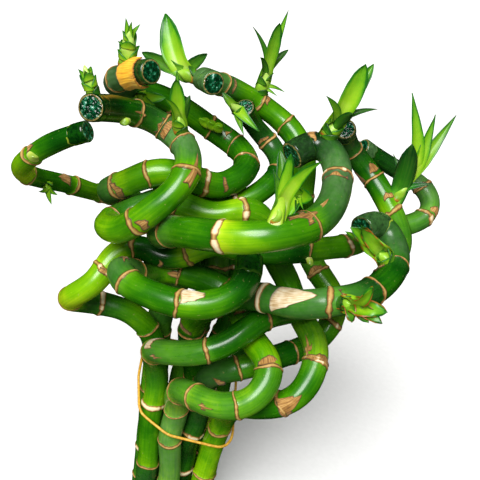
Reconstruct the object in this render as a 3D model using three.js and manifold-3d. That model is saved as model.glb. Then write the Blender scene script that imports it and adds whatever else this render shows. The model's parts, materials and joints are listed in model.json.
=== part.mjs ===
// Lucky bamboo: ten spiral-grown canes held by a rubber band, standing on their cut ends.
// Millimetres, +Z up. The origin is on the floor, under the middle of the bundle's whole outline.
// The places below are measured from the middle of the cut ends. Every cane is one grown piece,
// with its waxed tip and its leafy shoots as pieces of their own.

import * as THREE from 'three';
import { mergeVertices } from 'three/addons/utils/BufferGeometryUtils.js';
import Module from 'manifold-3d';

const wasm = await Module();
wasm.setup();

// Driving dimensions
const CANE_SIDES = 8;
const CANE_GAP = 0.9; // between two canes that lie against each other
const SAMPLE_STEP = 4; // distance between the points that the canes are settled by
const SETTLE_ROUNDS = 160;
const PUSH = 0.25; // share of an overlap that one round takes away
const SMOOTHING = [0.5, -0.51]; // in and back out again, so that a cane doesn't shrink
const SELF_REACH = 2.25; // a bend may come this close to its own cane, in cane widths
const FOOT_HELD = 20; // below this height the stems stay where the bundle was cut
const RING_HEIGHT = 0.55; // how far a node ring stands out of the cane
const RING_HALF = 1.6; // half the length of a node ring along the cane
const COIL_FROM = 0.35; // share of a cane's length where the stem has its full coil radius
const TIP_FROM = 0.7; // share of a cane's length where it starts to get thinner
const LONGEST_INTERNODE = 46; // a longer stretch between two rings is divided
const BEND_STEP = THREE.MathUtils.degToRad(23); // turning between two cross-sections of a bend
const RING_APART = 5; // two rings of one cane are never closer
const SEAT_GAP = 0.35; // between a piece and what it grows from or lies on
const WAX_COAT = [0.35, 0.65]; // least and greatest thickness of the wax on a cut tip
const WAX_EDGE = 0.9; // size of the rounded edge of a waxed tip
const LEAF_THICK = 0.7;
const MERGE_WITHIN = 0.05; // smaller steps in a fused shoot are evened out
const LEAF_CUP = 0.22; // how far a leaf's edges rise, as a share of its half width
const LEAF_BEND = 0.55; // how far most leaves go straight, as a share of their reach
const LEAF_INWARD = 0.6; // how much a leaf's face turns to the middle of its shoot
const LEAF_OUTLINE = [[0, 0.4], [0.3, 0.85], [0.6, 0.95], [0.85, 0.5], [1, 0.08]]; // along, half width
const LEAF_SPREAD = [0.72, 0.92]; // where on a shoot's stem its first and its last leaf start
const SHOOT_SIDES = 6;
const SHOOT_END = 0.4; // thickness of a shoot's stem at its very end, as a share of its top radius
const BUD_OUTLINE = [1, 1, 0.95, 0.35]; // thickness of a bud from its foot to its end
const MERGE_POINTS = 1e-4; // two points closer than this are one
const BAND_RADIUS = 0.75;
const BAND_LEVEL = 95; // height of the rubber band on the bundle's axis
const BAND_SLOPE = { x: -0.1, y: 0.5 }; // it hangs lower in front
const BAND_REACH = 7; // how far over and under its plane the band clears the canes
const BAND_STEPS = 48;
const LEAF_FRONT = new THREE.Vector3(0, -0.88, 0.47); // the side that the leaves turn to

const CANE_GREEN = { color: 0x3b7d14, roughness: 0.32, metalness: 0 };
const WAX_GREEN = { color: 0x0c3d24, roughness: 0.25, metalness: 0 };
const LEAF_GREEN = { color: 0x79b51c, roughness: 0.42, metalness: 0 };
const BUD_CREAM = { color: 0xd9d78a, roughness: 0.6, metalness: 0 };
const SHEATH_TAN = { color: 0xd98f1c, roughness: 0.75, metalness: 0 };
const BAND_OCHRE = { color: 0xd0a12c, roughness: 0.6, metalness: 0 };

// The canes, each from its cut foot to its waxed tip. radii: stem, coil and tip. wax: length of the
// waxed tip. rings: the node rings that show, in mm along the cane. route: points on its axis.
const CANES = {
  cane_left_coil: {
    radii: [6.3, 6.9, 6.3],
    wax: 9,
    rings: [49, 89, 153, 182, 217, 292, 364, 397, 431, 451, 466, 483],
    route: [
      [17, -12, 0], [18, -12, 45], [19, -12, 69], [21, -14, 91], [25, -22, 113], [39, -34, 128],
      [54, -38, 142], [60, -28, 151], [59, -14, 161], [53, -2, 169], [41, 8, 180], [29, 12, 191],
      [21, 8, 207], [15, 6, 218], [2, 2, 223], [-15, 0, 219], [-38, -6, 215], [-54, -12, 213],
      [-62, -22, 209], [-53, -32, 212], [-40, -38, 225], [-30, -34, 238], [-26, -24, 250],
      [-31, -12, 255], [-41, -2, 257], [-51, -4, 262], [-61, -16, 267], [-69, -28, 271], [-72, -40, 274],
    ],
  },
  cane_top_left: {
    radii: [6.3, 6.9, 6.0],
    wax: 9,
    rings: [262, 280, 298, 328, 363, 379, 397, 423, 469],
    route: [
      [-6.9, 8.2, 0], [-7, 9, 50], [-9, 17, 98], [-5, 24, 127], [-2, 26, 155], [-4, 28, 173],
      [-16, 30, 186], [-32, 27, 193], [-47, 25, 197], [-62, 20, 204], [-68, 7, 213], [-59, -4, 219],
      [-37, -5, 222], [-17, 4, 223.5], [-3, 14, 230], [1, 26, 236], [-5, 38, 240], [-16, 44, 243],
      [-28, 44, 248], [-41, 40, 255], [-58, 34, 262], [-72, 24, 264], [-74, 13, 271], [-64, 4, 279],
      [-53, -6, 286],
    ],
  },
  cane_top_back: {
    radii: [6.3, 6.9, 5.8],
    wax: 8,
    rings: [115, 144, 177, 243, 296, 320, 339, 360, 389, 421],
    route: [
      [4.4, -0.3, 0], [5, 0, 40], [7, 0, 62], [6, -2, 92], [6, -8, 114], [14, -16, 130], [31, -12, 138],
      [49, 0, 143], [64, 14, 147], [70, 24, 157], [67, 32, 169], [56, 40, 174], [50, 44, 180],
      [43, 44, 195], [36, 42, 213], [33, 42, 230], [29, 48, 240], [22, 56, 250], [10, 61, 255],
      [-1, 60, 261], [-12, 55, 266], [-22, 45, 272], [-31, 30, 277], [-29, 16, 281], [-24, 8, 283],
    ],
  },
  cane_inner_back: {
    radii: [6.3, 6.4, 5.4],
    wax: 8,
    rings: [262, 321, 355, 378],
    route: [
      [9.5, 14.5, 0], [10.5, 15, 60], [15, 18, 108], [17, 30, 128], [11, 40, 150], [3, 46, 164],
      [-10, 52, 184], [-29, 50, 204], [-42, 40, 214], [-50, 28, 218], [-39, 16, 221], [-22, 10, 219],
      [-8, 12, 220], [4, 18, 224], [14, 28, 229], [20, 40, 235], [15, 50, 240], [6, 54, 245],
      [-2, 50, 253], [-8, 40, 264],
    ],
  },
  cane_front_loop: {
    radii: [6.3, 7.6, 7.3],
    wax: 14,
    rings: [124, 231, 260, 298, 340, 385],
    route: [
      [-15.5, 18.5, 0], [-17, 18.5, 45], [-20, 18, 75], [-24, 17, 99], [-28, 17, 121], [-29, 16, 136],
      [-24, 14, 158], [-20, 14, 176], [-20, 16, 191], [-26, 12, 204], [-33, -4, 210], [-34, -20, 212],
      [-25, -38, 223], [-7, -52, 232], [11, -58, 239], [27, -52, 243], [39, -39, 245], [45.5, -21, 249],
      [46, -5, 253], [44, 8, 258], [37.5, 18.5, 261], [29, 18.5, 259], [22, 10.5, 254.5],
    ],
  },
  cane_right_loop: {
    radii: [6.3, 7.4, 6.8],
    wax: 18,
    rings: [147, 218, 255, 303],
    route: [
      [17.4, 1.6, 0], [17, 3, 40], [12, 6, 67], [3, 8, 95], [-6, 6, 125], [-8, -2, 150], [2, -12, 171],
      [22, -24, 189], [38, -36, 196], [51, -42, 205], [65, -38, 208], [79, -26, 212], [86, -12, 217],
      [86, 2, 221], [80, 10, 227], [71, 6, 231], [66, -2, 229],
    ],
  },
  cane_right_arm: {
    radii: [6.3, 6.7, 6.0],
    wax: 9,
    rings: [48, 93, 138, 183, 218, 346, 366, 387],
    route: [
      [-15.5, -11.8, 0], [-16, -12, 45], [-18, -12, 65], [-20, -10, 94], [-22, -8, 113], [-26, -18, 134],
      [-18, -30, 145], [-4, -38, 155], [10, -36, 162], [22, -26, 167], [33, -12, 170], [50, 2, 173],
      [72, 14, 176], [87, 24, 183], [94, 31, 196], [92, 35, 210], [85, 36, 225], [78, 40, 233],
      [70, 46, 241], [60, 50, 247], [51, 46, 256], [47, 36, 267],
    ],
  },
  cane_far_right: {
    radii: [6.2, 6.5, 5.2],
    wax: 9,
    rings: [47, 137, 170, 194, 224, 243, 340, 366, 425, 447],
    route: [
      [-18, 1.2, 0], [-21, 2, 51], [-24, 3, 82], [-26, 4, 110], [-28, 4, 123], [-33, 2, 134],
      [-39, -1, 141], [-47, -3, 146], [-58, -3, 148], [-71, -8, 149], [-75, -18, 156],
      [-70, -24, 166], [-60, -22, 175],
      [-51, -16, 185], [-42, -8, 193], [-29, -6, 199], [-8, -6, 202], [19, -4, 204], [39, 4, 206],
      [64, 20, 207], [83, 36, 211], [97, 46, 215], [108, 54, 220], [110, 62, 228], [103, 68, 233],
      [90, 70, 237], [76, 68, 243], [62, 62, 250],
    ],
  },
  cane_far_left: {
    radii: [6.3, 5.0, 4.6],
    wax: 10,
    rings: [260, 282, 319, 350],
    route: [
      [-2.4, 20.6, 0], [-1, 21, 60], [6, 24, 110], [10, 26, 129], [4, 26, 153], [-11, 32, 169],
      [-30, 38, 180], [-47, 40, 188], [-61, 34, 195], [-73, 22, 202], [-83, 9, 209], [-94, -6, 217],
      [-101, -22, 225], [-102, -36, 235], [-94, -46, 247], [-85, -50, 257], [-76, -52, 264],
      [-68, -54, 269],
    ],
  },
  cane_low_coil: {
    radii: [6.3, 7.2, 6.8],
    wax: 13,
    rings: [74, 122, 141, 194, 224, 277, 312, 339, 370],
    route: [
      [-2, -11.8, 0], [-2, -12, 50], [-5, -14, 71], [-8, -16, 99], [-5, -28, 121], [7, -42, 129],
      [24, -50, 138], [35, -46, 145], [36, -36, 155], [29, -24, 163], [19, -12, 166], [8, -2, 170],
      [-7, 4, 174], [-25, 4, 177], [-41, -10, 184], [-50, -28, 189], [-42, -42, 190], [-24, -52, 193],
      [-5, -54, 195], [9, -46, 200], [15, -36, 207], [13, -26, 211],
    ],
  },
};

// The leafy shoots. Each grows out of a cane, at mm along it. stem: its length out of the cane's
// axis, and its radius at the foot and at the top. toward: a point that the stem grows to, where
// that isn't the middle of the leaves' tips. spread: where on the stem the first and the last leaf
// start. bend: share of its reach that a leaf goes straight before it bends away. leaves: the place
// of each tip, then the width.
const SHOOTS = {
  shoot_left_tip: {
    cane: 'cane_left_coil', at: 512, stem: [19, 3.4, 2.8], toward: [-79, -33, 291],
    leaves: [[-81, -33, 289, 2.7], [-77, -37, 292, 2.6], [-75, -34, 290, 2.7]],
  },
  shoot_top_left: {
    cane: 'cane_top_left', at: 478, stem: [23, 4.4, 3.0], toward: [-68, 4, 297],
    leaves: [[-71, 4, 305.5, 3.2], [-67.5, 2, 305, 2.8], [-64, 6, 303.5, 2.8], [-73, 2, 294, 2.6]],
  },
  shoot_left_upright: {
    cane: 'cane_left_coil', at: 453, stem: [14, 3.4, 2.6],
    leaves: [[-40, -14, 288, 7.0], [-43, -22, 280, 4.6], [-33, -6, 279, 3.9]],
  },
  shoot_top_middle: {
    cane: 'cane_top_back', at: 413, stem: [13, 3.8, 3.2], toward: [-43, 22, 280], spread: [0.66, 0.9], bend: 0.2,
    leaves: [[-34, 45, 286, 6.2], [-66, 34, 282, 7.4], [-58, 40, 303, 11]],
  },
  shoot_top_right: {
    cane: 'cane_top_back', at: 360, stem: [20, 3.6, 2.4],
    leaves: [
      [-14, 62, 302, 3.3], [0, 60, 308, 7.0], [3, 67, 314, 3.2], [-6, 53, 289, 4.3],
      [8, 71, 292, 3.9], [12, 64, 270, 2.6],
    ],
  },
  shoot_front_loop: {
    cane: 'cane_front_loop', at: 411, stem: [16, 4.4, 3.4],
    leaves: [
      [46, 16, 308, 9.3], [51, 27, 306, 6.0], [31, 8, 290, 4.4], [59, 23, 285, 3.6], [45, 2, 286, 4.8],
    ],
  },
  shoot_far_right: {
    cane: 'cane_right_arm', at: 348, stem: [26, 3.6, 2.4], toward: [92, 39, 254], spread: [0.45, 0.92],
    bend: 0.3,
    leaves: [
      [83, 30, 269, 11.6], [102, 36, 248, 4.2], [78.5, 50, 254, 4.2], [76.5, 44, 292, 8.8],
      [92.5, 46, 283, 7.6], [104.7, 52, 283.6, 7.6],
    ],
  },
  shoot_front_left: {
    cane: 'cane_front_loop', at: 320, stem: [17, 3.4, 2.8],
    leaves: [[14, -46, 278, 4.8], [19, -56, 281, 5.1], [32, -64, 284, 5.8]],
  },
  shoot_front_middle: {
    cane: 'cane_top_back', at: 296, stem: [12, 3.2, 3.0],
    leaves: [[40, 20, 230, 7.5], [29, 24, 233, 6.5], [24, 18, 220, 5.4]],
  },
  shoot_right_curled: {
    cane: 'cane_right_loop', at: 257, stem: [12, 3.6, 3.0],
    leaves: [[81, -58, 217, 8.2], [69, -62, 231, 5.4], [64, -59, 206, 5.5]],
  },
  shoot_right_inner: {
    cane: 'cane_right_loop', at: 302, stem: [12, 3.6, 2.8],
    leaves: [[60, -16, 238, 5.9], [66, -24, 232, 4.4], [66, -12, 228, 4.4]],
  },
  shoot_far_left: {
    cane: 'cane_far_left', at: 301, stem: [9, 2.4, 1.8],
    leaves: [[-91, -24, 213, 3.0], [-86, -24, 217, 2.6], [-96, -29, 216, 2.6]],
  },
  shoot_inner_back: {
    cane: 'cane_inner_back', at: 396, stem: [19, 3.2, 2.8], toward: [-17, 34, 267],
    leaves: [[-5, 30, 252, 5.4], [3.5, 31, 255, 7.6], [-22, 40, 270, 4.6]],
  },
  shoot_lying: {
    cane: 'cane_top_left', at: 442, stem: [11, 3.0, 2.6],
    leaves: [[-48, 20, 266, 6.2], [-52, 16, 262, 4.6], [-78, 14, 257, 4.1]],
  },
};

// Buds that haven't opened: where on the cane, the way they point, and length and radius
const BUDS = {
  bud_far_left: { cane: 'cane_far_left', at: 350, toward: [-88, -60, 253], size: [4.5, 3.2] },
  bud_left_coil: { cane: 'cane_left_coil', at: 489, toward: [-58, -30, 262], size: [4, 2.4] },
  bud_top_left: { cane: 'cane_top_left', at: 393, toward: [-24, 32, 254], size: [9, 4.4] },
  bud_far_right: { cane: 'cane_far_right', at: 341, toward: [47, -8, 203], size: [5, 2.2] },
};

// The dry leaf sheath that is left round the end of the cane at the top left. toward: the side that
// it is on. half: half its width. deep: how far it comes from the cane's axis.
const DRY_SHEATH = {
  cane: 'cane_top_left', from: 478, to: 494.5, thick: 0.9, toward: [-58, -24, 287], half: 9, deep: 1.5,
};

// Same numbers on every run
function seeded(seed) {
  let state = seed;
  return () => {
    state = (state * 1664525 + 1013904223) % 4294967296;
    return state / 4294967296;
  };
}

function vectors(points) {
  return points.map((p) => new THREE.Vector3(...p));
}

function smoothCurve(points) {
  return new THREE.CatmullRomCurve3(points, false, 'centripetal');
}

// Radius of a cane, without its rings, at a share of its length
function plainRadius(radii, share) {
  const [stem, coil, tip] = radii;
  const { clamp, lerp } = THREE.MathUtils;
  if (share < COIL_FROM) return lerp(stem, coil, clamp(share / COIL_FROM, 0, 1));
  return lerp(coil, tip, clamp((share - TIP_FROM) / (1 - TIP_FROM), 0, 1));
}

// The rings that show, with equal steps put into each long stretch between them
function allRings(shown, end) {
  const marks = [0, ...shown, end];
  const rings = [...shown];
  for (let i = 1; i < marks.length; i++) {
    const stretch = marks[i] - marks[i - 1];
    const parts = Math.ceil(stretch / LONGEST_INTERNODE);
    for (let k = 1; k < parts; k++) rings.push(marks[i - 1] + (stretch * k) / parts);
  }
  return rings.sort((a, b) => a - b).filter((s, i, all) => i === 0 || s - all[i - 1] > RING_APART);
}

// Canes lie against each other and never pass through each other: overlapping points are pushed
// apart a little in each round, and each cane is then smoothed without getting shorter
function settle(canes) {
  const points = [];
  for (const cane of canes) {
    cane.points.forEach((place, i) => {
      const s = i * cane.step;
      const ringNear = cane.rings.some((ring) => Math.abs(ring - s) < RING_HALF + SAMPLE_STEP / 2);
      const room = cane.radiusAt(s) + (ringNear ? RING_HEIGHT : 0) + CANE_GAP / 2;
      points.push({ cane, i, place, room, held: place.z < FOOT_HELD, push: new THREE.Vector3() });
    });
  }
  const between = new THREE.Vector3();
  for (let round = 0; round < SETTLE_ROUNDS; round++) {
    for (const p of points) {
      p.push.set(0, 0, 0);
      p.touching = 0;
    }
    for (let a = 0; a < points.length; a++) {
      for (let b = a + 1; b < points.length; b++) {
        const p = points[a];
        const q = points[b];
        const need = p.room + q.room;
        if (Math.abs(p.place.z - q.place.z) > need || Math.abs(p.place.x - q.place.x) > need) continue;
        if (p.cane === q.cane && (b - a) * p.cane.step < SELF_REACH * need) continue;
        between.subVectors(p.place, q.place);
        const far = between.length();
        if (far >= need) continue;
        between.multiplyScalar((PUSH * (need - far)) / far);
        p.push.add(between);
        q.push.sub(between);
        p.touching += 1;
        q.touching += 1;
      }
    }
    for (const p of points) {
      if (!p.held && p.touching) p.place.addScaledVector(p.push, 1 / Math.sqrt(p.touching));
    }
    for (const cane of canes) smooth(cane.points);
  }
}

function smooth(line) {
  for (const share of SMOOTHING) {
    const middle = line.map((p, i) => {
      if (i === 0 || i === line.length - 1) return p.clone();
      return line[i - 1].clone().add(line[i + 1]).multiplyScalar(0.5);
    });
    line.forEach((p, i) => {
      if (p.z >= FOOT_HELD) p.lerp(middle[i], share);
    });
  }
}

// A closed body through rows of points, each row going once round. The rows' points are set on the
// vertices of a cylinder, whose end faces close the body.
function loft(rows) {
  const sides = rows[0].length;
  const geometry = new THREE.CylinderGeometry(1, 1, 1, sides, rows.length - 1);
  const position = geometry.attributes.position;
  const v = new THREE.Vector3();
  for (let i = 0; i < position.count; i++) {
    v.fromBufferAttribute(position, i);
    const row = rows[Math.round((0.5 - v.y) * (rows.length - 1))];
    const turn = Math.round((Math.atan2(v.x, v.z) / (2 * Math.PI)) * sides + sides) % sides;
    if (Math.hypot(v.x, v.z) > 0.5) {
      v.copy(row[turn]);
    } else {
      v.set(0, 0, 0);
      for (const p of row) v.addScaledVector(p, 1 / sides);
    }
    position.setXYZ(i, v.x, v.y, v.z);
  }
  return closed(geometry);
}

function closed(geometry) {
  geometry.deleteAttribute('normal');
  geometry.deleteAttribute('uv');
  return mergeVertices(geometry, MERGE_POINTS);
}

// Points on a circle across the way that a piece runs
function circle(center, across, other, radius, sides) {
  return Array.from({ length: sides }, (_, k) => {
    const turn = (2 * Math.PI * k) / sides;
    return center
      .clone()
      .addScaledVector(across, radius * Math.sin(turn))
      .addScaledVector(other, radius * Math.cos(turn));
  });
}

function solid(geometry) {
  return new wasm.Manifold(
    new wasm.Mesh({
      numProp: 3,
      vertProperties: geometry.attributes.position.array,
      triVerts: new Uint32Array(geometry.index.array),
    }),
  );
}

function fromSolid(body) {
  const made = body.getMesh();
  const geometry = new THREE.BufferGeometry();
  geometry.setAttribute('position', new THREE.BufferAttribute(new Float32Array(made.vertProperties), 3));
  geometry.setIndex(new THREE.BufferAttribute(new Uint32Array(made.triVerts), 1));
  return geometry;
}

function largest(body) {
  if (body.volume() < 1) throw new Error('nothing is left of a piece');
  const whole = body.decompose().reduce((best, one) => (one.volume() > best.volume() ? one : best));
  return whole.simplify(MERGE_WITHIN);
}

function named(name, geometry, look) {
  geometry.computeVertexNormals();
  const mesh = new THREE.Mesh(geometry, new THREE.MeshStandardMaterial(look));
  mesh.name = name;
  return mesh;
}

// A cane before it is settled: points at equal steps along its route
function layCane(name, { radii, wax, rings, route }) {
  const curve = smoothCurve(vectors(route));
  const length = curve.getLength();
  const count = Math.round(length / SAMPLE_STEP);
  const points = curve.getSpacedPoints(count);
  points[0].z = 0;
  return {
    name,
    wax,
    points,
    length,
    step: length / count,
    rings: allRings(rings, length - wax),
    radiusAt: (s) => plainRadius(radii, s / length),
  };
}

// Cross-sections of a cane: three at each ring, and more between the rings where it bends
function stations(cane, from, to) {
  const marks = [from];
  const inside = cane.rings.filter((s) => s > from + 2 * RING_HALF && s < to - 2 * RING_HALF);
  for (const ring of [...inside, to]) {
    const start = marks[marks.length - 1];
    const end = ring === to ? to : ring - RING_HALF;
    const parts = Math.ceil(cane.turning(start, end) / BEND_STEP);
    for (let k = 1; k < parts; k++) marks.push(start + ((end - start) * k) / parts);
    marks.push(end);
    if (ring !== to) marks.push(ring, ring + RING_HALF);
  }
  return marks;
}

// What the settled cane offers: its place, its direction and how much it turns
function finishCane(cane) {
  const curve = smoothCurve(cane.points);
  cane.length = curve.getLength();
  cane.curve = curve;
  cane.at = (s) => curve.getPointAt(THREE.MathUtils.clamp(s / cane.length, 0, 1));
  const joint = cane.length - cane.wax;
  cane.way = (s) => {
    const spot = Math.abs(s - joint) <= SEAT_GAP ? joint : s;
    return curve.getTangentAt(THREE.MathUtils.clamp(spot / cane.length, 0.001, 1));
  };
  cane.turning = (from, to) => {
    const count = Math.max(1, Math.ceil((to - from) / SAMPLE_STEP));
    let turned = 0;
    for (let k = 0; k < count; k++) {
      const a = cane.way(from + ((to - from) * k) / count);
      turned += a.angleTo(cane.way(from + ((to - from) * (k + 1)) / count));
    }
    return turned;
  };
}

// A body along a cane. radius gives its size at a place along the cane.
function alongCane(cane, marks, radius, sides = CANE_SIDES) {
  const across = new THREE.Vector3(1, 0, 0);
  const rows = marks.map((s) => {
    const way = s === 0 ? new THREE.Vector3(0, 0, 1) : cane.way(s);
    across.addScaledVector(way, -across.dot(way)).normalize();
    const other = new THREE.Vector3().crossVectors(way, across);
    return circle(cane.at(s), across, other, radius(s), sides);
  });
  return loft(rows);
}

function caneBody(cane) {
  const end = cane.length - cane.wax - SEAT_GAP;
  const radius = (s) => cane.radiusAt(s) + (cane.rings.includes(s) ? RING_HEIGHT : 0);
  return alongCane(cane, stations(cane, 0, end), radius);
}

// Cross-sections of the wax on the tip, with the last two close together for the rounded edge
function waxMarks(cane) {
  const start = cane.length - cane.wax;
  const parts = Math.max(1, Math.ceil(cane.turning(start, cane.length) / BEND_STEP));
  const marks = [start];
  for (let k = 1; k <= parts; k++) marks.push(start + ((cane.wax - WAX_EDGE) * k) / parts);
  return [...marks, cane.length];
}

// The cut tip was dipped in wax, which stands out a little and sets unevenly
function waxTip(cane, seed) {
  const random = seeded(seed);
  const marks = waxMarks(cane);
  const coat = new Map(marks.map((s) => [s, THREE.MathUtils.lerp(...WAX_COAT, random())]));
  coat.set(cane.length, -WAX_EDGE);
  return alongCane(cane, marks, (s) => cane.radiusAt(s) + coat.get(s));
}

// The room that a cane takes with its rings, wax and the gap that other pieces keep to it
function caneRoom(cane, extra) {
  const radius = (s) => {
    const waxed = s >= cane.length - cane.wax ? WAX_COAT[1] : 0;
    return cane.radiusAt(s) + Math.max(waxed, cane.rings.includes(s) ? RING_HEIGHT : 0) + extra;
  };
  const marks = [...stations(cane, 0, cane.length - cane.wax), ...waxMarks(cane).slice(1)];
  return solid(alongCane(cane, marks, radius));
}

// One leaf: a curved blade with a cupped cross-section, widest in its lower half, with a sharp tip
function leaf(foot, out, tip, width, straight) {
  const reach = foot.distanceTo(tip);
  const bend = foot.clone().addScaledVector(out, reach * straight);
  const curve = new THREE.QuadraticBezierCurve3(foot, bend, tip);
  const inward = foot.clone().sub(tip).addScaledVector(out, tip.clone().sub(foot).dot(out));
  const face = LEAF_FRONT.clone().addScaledVector(inward, LEAF_INWARD / reach);
  const rows = LEAF_OUTLINE.map(([along, share]) => {
    const center = curve.getPoint(along);
    const way = curve.getTangent(along);
    const side = new THREE.Vector3().crossVectors(face, way).normalize();
    const up = new THREE.Vector3().crossVectors(way, side);
    const t = LEAF_THICK / 2;
    const half = Math.max(t, (width / 2) * share);
    const rise = LEAF_CUP * half;
    const section = [
      [0, t], [half, rise + t], [half, rise - t], [0, -t], [-half, rise - t], [-half, rise + t],
    ];
    return section.map(([x, z]) => center.clone().addScaledVector(side, x).addScaledVector(up, z));
  });
  return solid(loft(rows));
}

function taper(from, way, length, radii, sides) {
  const across = new THREE.Vector3(0, 1, 0.2);
  across.addScaledVector(way, -across.dot(way)).normalize();
  const other = new THREE.Vector3().crossVectors(way, across);
  const rows = radii.map((radius, i) => {
    const center = from.clone().addScaledVector(way, (length * i) / (radii.length - 1));
    return circle(center, across, other, radius, sides);
  });
  return loft(rows);
}

// The stem of a shoot runs from the axis of its cane
function shootStem(cane, { at, stem, toward, leaves }, extra) {
  const root = cane.at(at);
  const aims = toward ? [toward] : leaves;
  const out = new THREE.Vector3();
  for (const [x, y, z] of aims) out.addScaledVector(new THREE.Vector3(x, y, z), 1 / aims.length);
  out.sub(root).normalize();
  const [length, wide, narrow] = stem;
  const radii = [wide, wide, (wide + narrow) / 2, narrow, narrow * SHOOT_END].map((radius) => radius + extra);
  return { root, out, body: solid(taper(root, out, length, radii, SHOOT_SIDES)) };
}

// The canes' room is cut away from a shoot, which seats it on its cane
function shoot(cane, made, rooms) {
  let { root, out, body } = shootStem(cane, made, 0);
  const spread = made.spread ?? LEAF_SPREAD;
  made.leaves.forEach(([x, y, z, width], i) => {
    const share = THREE.MathUtils.lerp(...spread, i / (made.leaves.length - 1));
    const foot = root.clone().addScaledVector(out, made.stem[0] * share);
    body = body.add(leaf(foot, out, new THREE.Vector3(x, y, z), width, made.bend ?? LEAF_BEND));
  });
  for (const room of rooms) body = body.subtract(room);
  return largest(body);
}

function bud(cane, { at, toward, size }, rooms) {
  const root = cane.at(at);
  const out = new THREE.Vector3(...toward).sub(root).normalize();
  const [length, radius] = size;
  const reach = cane.radiusAt(at) + length;
  const radii = BUD_OUTLINE.map((share) => radius * share);
  let body = solid(taper(root, out, reach, radii, SHOOT_SIDES));
  for (const room of rooms) body = body.subtract(room);
  return largest(body);
}

// The dry sheath is a piece of a thin sleeve round the cane
function drySheath(cane, rooms) {
  const { from, to, thick, toward, half, deep } = DRY_SHEATH;
  const marks = [from, (2 * from + to) / 3, (from + 2 * to) / 3, to];
  const sleeve = alongCane(cane, marks, (s) => cane.radiusAt(s) + RING_HEIGHT + SEAT_GAP + thick);
  const root = cane.at((from + to) / 2);
  const out = new THREE.Vector3(...toward).sub(root).normalize();
  const side = solid(taper(root.addScaledVector(out, deep), out, 2 * half, [half, half], SHOOT_SIDES));
  let body = solid(sleeve).intersect(side);
  for (const room of rooms) body = body.subtract(room);
  return largest(body);
}

// The rubber band follows the outline of the bundle, on a plane that is lower in front
function rubberBand(canes) {
  const level = (p) => BAND_LEVEL + BAND_SLOPE.x * p.x + BAND_SLOPE.y * p.y;
  const spots = [];
  for (const cane of canes) {
    const room = cane.radiusAt(BAND_LEVEL) + RING_HEIGHT + SEAT_GAP + BAND_RADIUS;
    for (const { x, y } of cane.points.filter((p) => Math.abs(p.z - level(p)) < BAND_REACH)) {
      for (let k = 0; k < BAND_STEPS; k++) {
        const turn = (2 * Math.PI * k) / BAND_STEPS;
        spots.push(new THREE.Vector2(x + room * Math.cos(turn), y + room * Math.sin(turn)));
      }
    }
  }
  const outline = equalSteps(hull(spots), BAND_STEPS);
  const geometry = new THREE.TorusGeometry(2, 1, 6, BAND_STEPS);
  const position = geometry.attributes.position;
  for (let i = 0; i < position.count; i++) {
    const x = position.getX(i);
    const y = position.getY(i);
    const z = position.getZ(i);
    const turn = Math.atan2(y, x) / (2 * Math.PI);
    const step = (Math.round(turn * BAND_STEPS) + BAND_STEPS) % BAND_STEPS;
    const here = outline[step];
    const next = outline[(step + 1) % BAND_STEPS];
    const last = outline[(step + BAND_STEPS - 1) % BAND_STEPS];
    const outward = new THREE.Vector2(next.y - last.y, last.x - next.x).normalize();
    const off = (Math.hypot(x, y) - 2) * BAND_RADIUS;
    position.setXYZ(i, here.x + outward.x * off, here.y + outward.y * off, level(here) + z * BAND_RADIUS);
  }
  return closed(geometry);
}

// The convex outline of a set of points, going round to the left
function hull(points) {
  const sorted = [...points].sort((a, b) => a.x - b.x || a.y - b.y);
  const turn = (o, a, b) => (a.x - o.x) * (b.y - o.y) - (a.y - o.y) * (b.x - o.x);
  const half = (list) => {
    const out = [];
    for (const p of list) {
      while (out.length > 1 && turn(out[out.length - 2], out[out.length - 1], p) <= 0) out.pop();
      out.push(p);
    }
    return out.slice(0, -1);
  };
  return [...half(sorted), ...half(sorted.reverse())];
}

function equalSteps(outline, count) {
  const ring = new THREE.CurvePath();
  outline.forEach((p, i) => ring.add(new THREE.LineCurve(p, outline[(i + 1) % outline.length])));
  return Array.from({ length: count }, (_, k) => ring.getPointAt(k / count));
}

const canes = Object.entries(CANES).map(([name, made]) => layCane(name, made));
settle(canes);
canes.forEach(finishCane);
const caneNamed = Object.fromEntries(canes.map((cane) => [cane.name, cane]));
const rooms = canes.map((cane) => caneRoom(cane, SEAT_GAP));

const bamboo = new THREE.Group();
canes.forEach((cane, i) => {
  bamboo.add(named(cane.name, caneBody(cane), CANE_GREEN));
  bamboo.add(named(cane.name.replace('cane', 'wax_tip'), waxTip(cane, i + 1), WAX_GREEN));
});
for (const [name, made] of Object.entries(SHOOTS)) {
  bamboo.add(named(name, fromSolid(shoot(caneNamed[made.cane], made, rooms)), LEAF_GREEN));
}
for (const [name, made] of Object.entries(BUDS)) {
  bamboo.add(named(name, fromSolid(bud(caneNamed[made.cane], made, rooms)), BUD_CREAM));
}
const besideSheath = shootStem(caneNamed[DRY_SHEATH.cane], SHOOTS.shoot_top_left, SEAT_GAP).body;
const sheath = drySheath(caneNamed[DRY_SHEATH.cane], [...rooms, besideSheath]);
bamboo.add(named('dry_sheath', fromSolid(sheath), SHEATH_TAN));
bamboo.add(named('rubber_band', rubberBand(canes), BAND_OCHRE));

// The head leans away from the stems, so the middle of the outline isn't the middle of the cut ends
const outline = new THREE.Box3().setFromObject(bamboo);
const middle = outline.getCenter(new THREE.Vector3());
bamboo.position.set(-middle.x, -middle.y, -outline.min.z);

export default bamboo;
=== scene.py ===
"""A tied bunch of trained lucky bamboo: ten glossy canes grown in coils, with waxed tips and shoots."""

import json
import math
from collections import namedtuple
from functools import partial

import bpy
import numpy as np
from mathutils import Matrix, Vector

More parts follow.
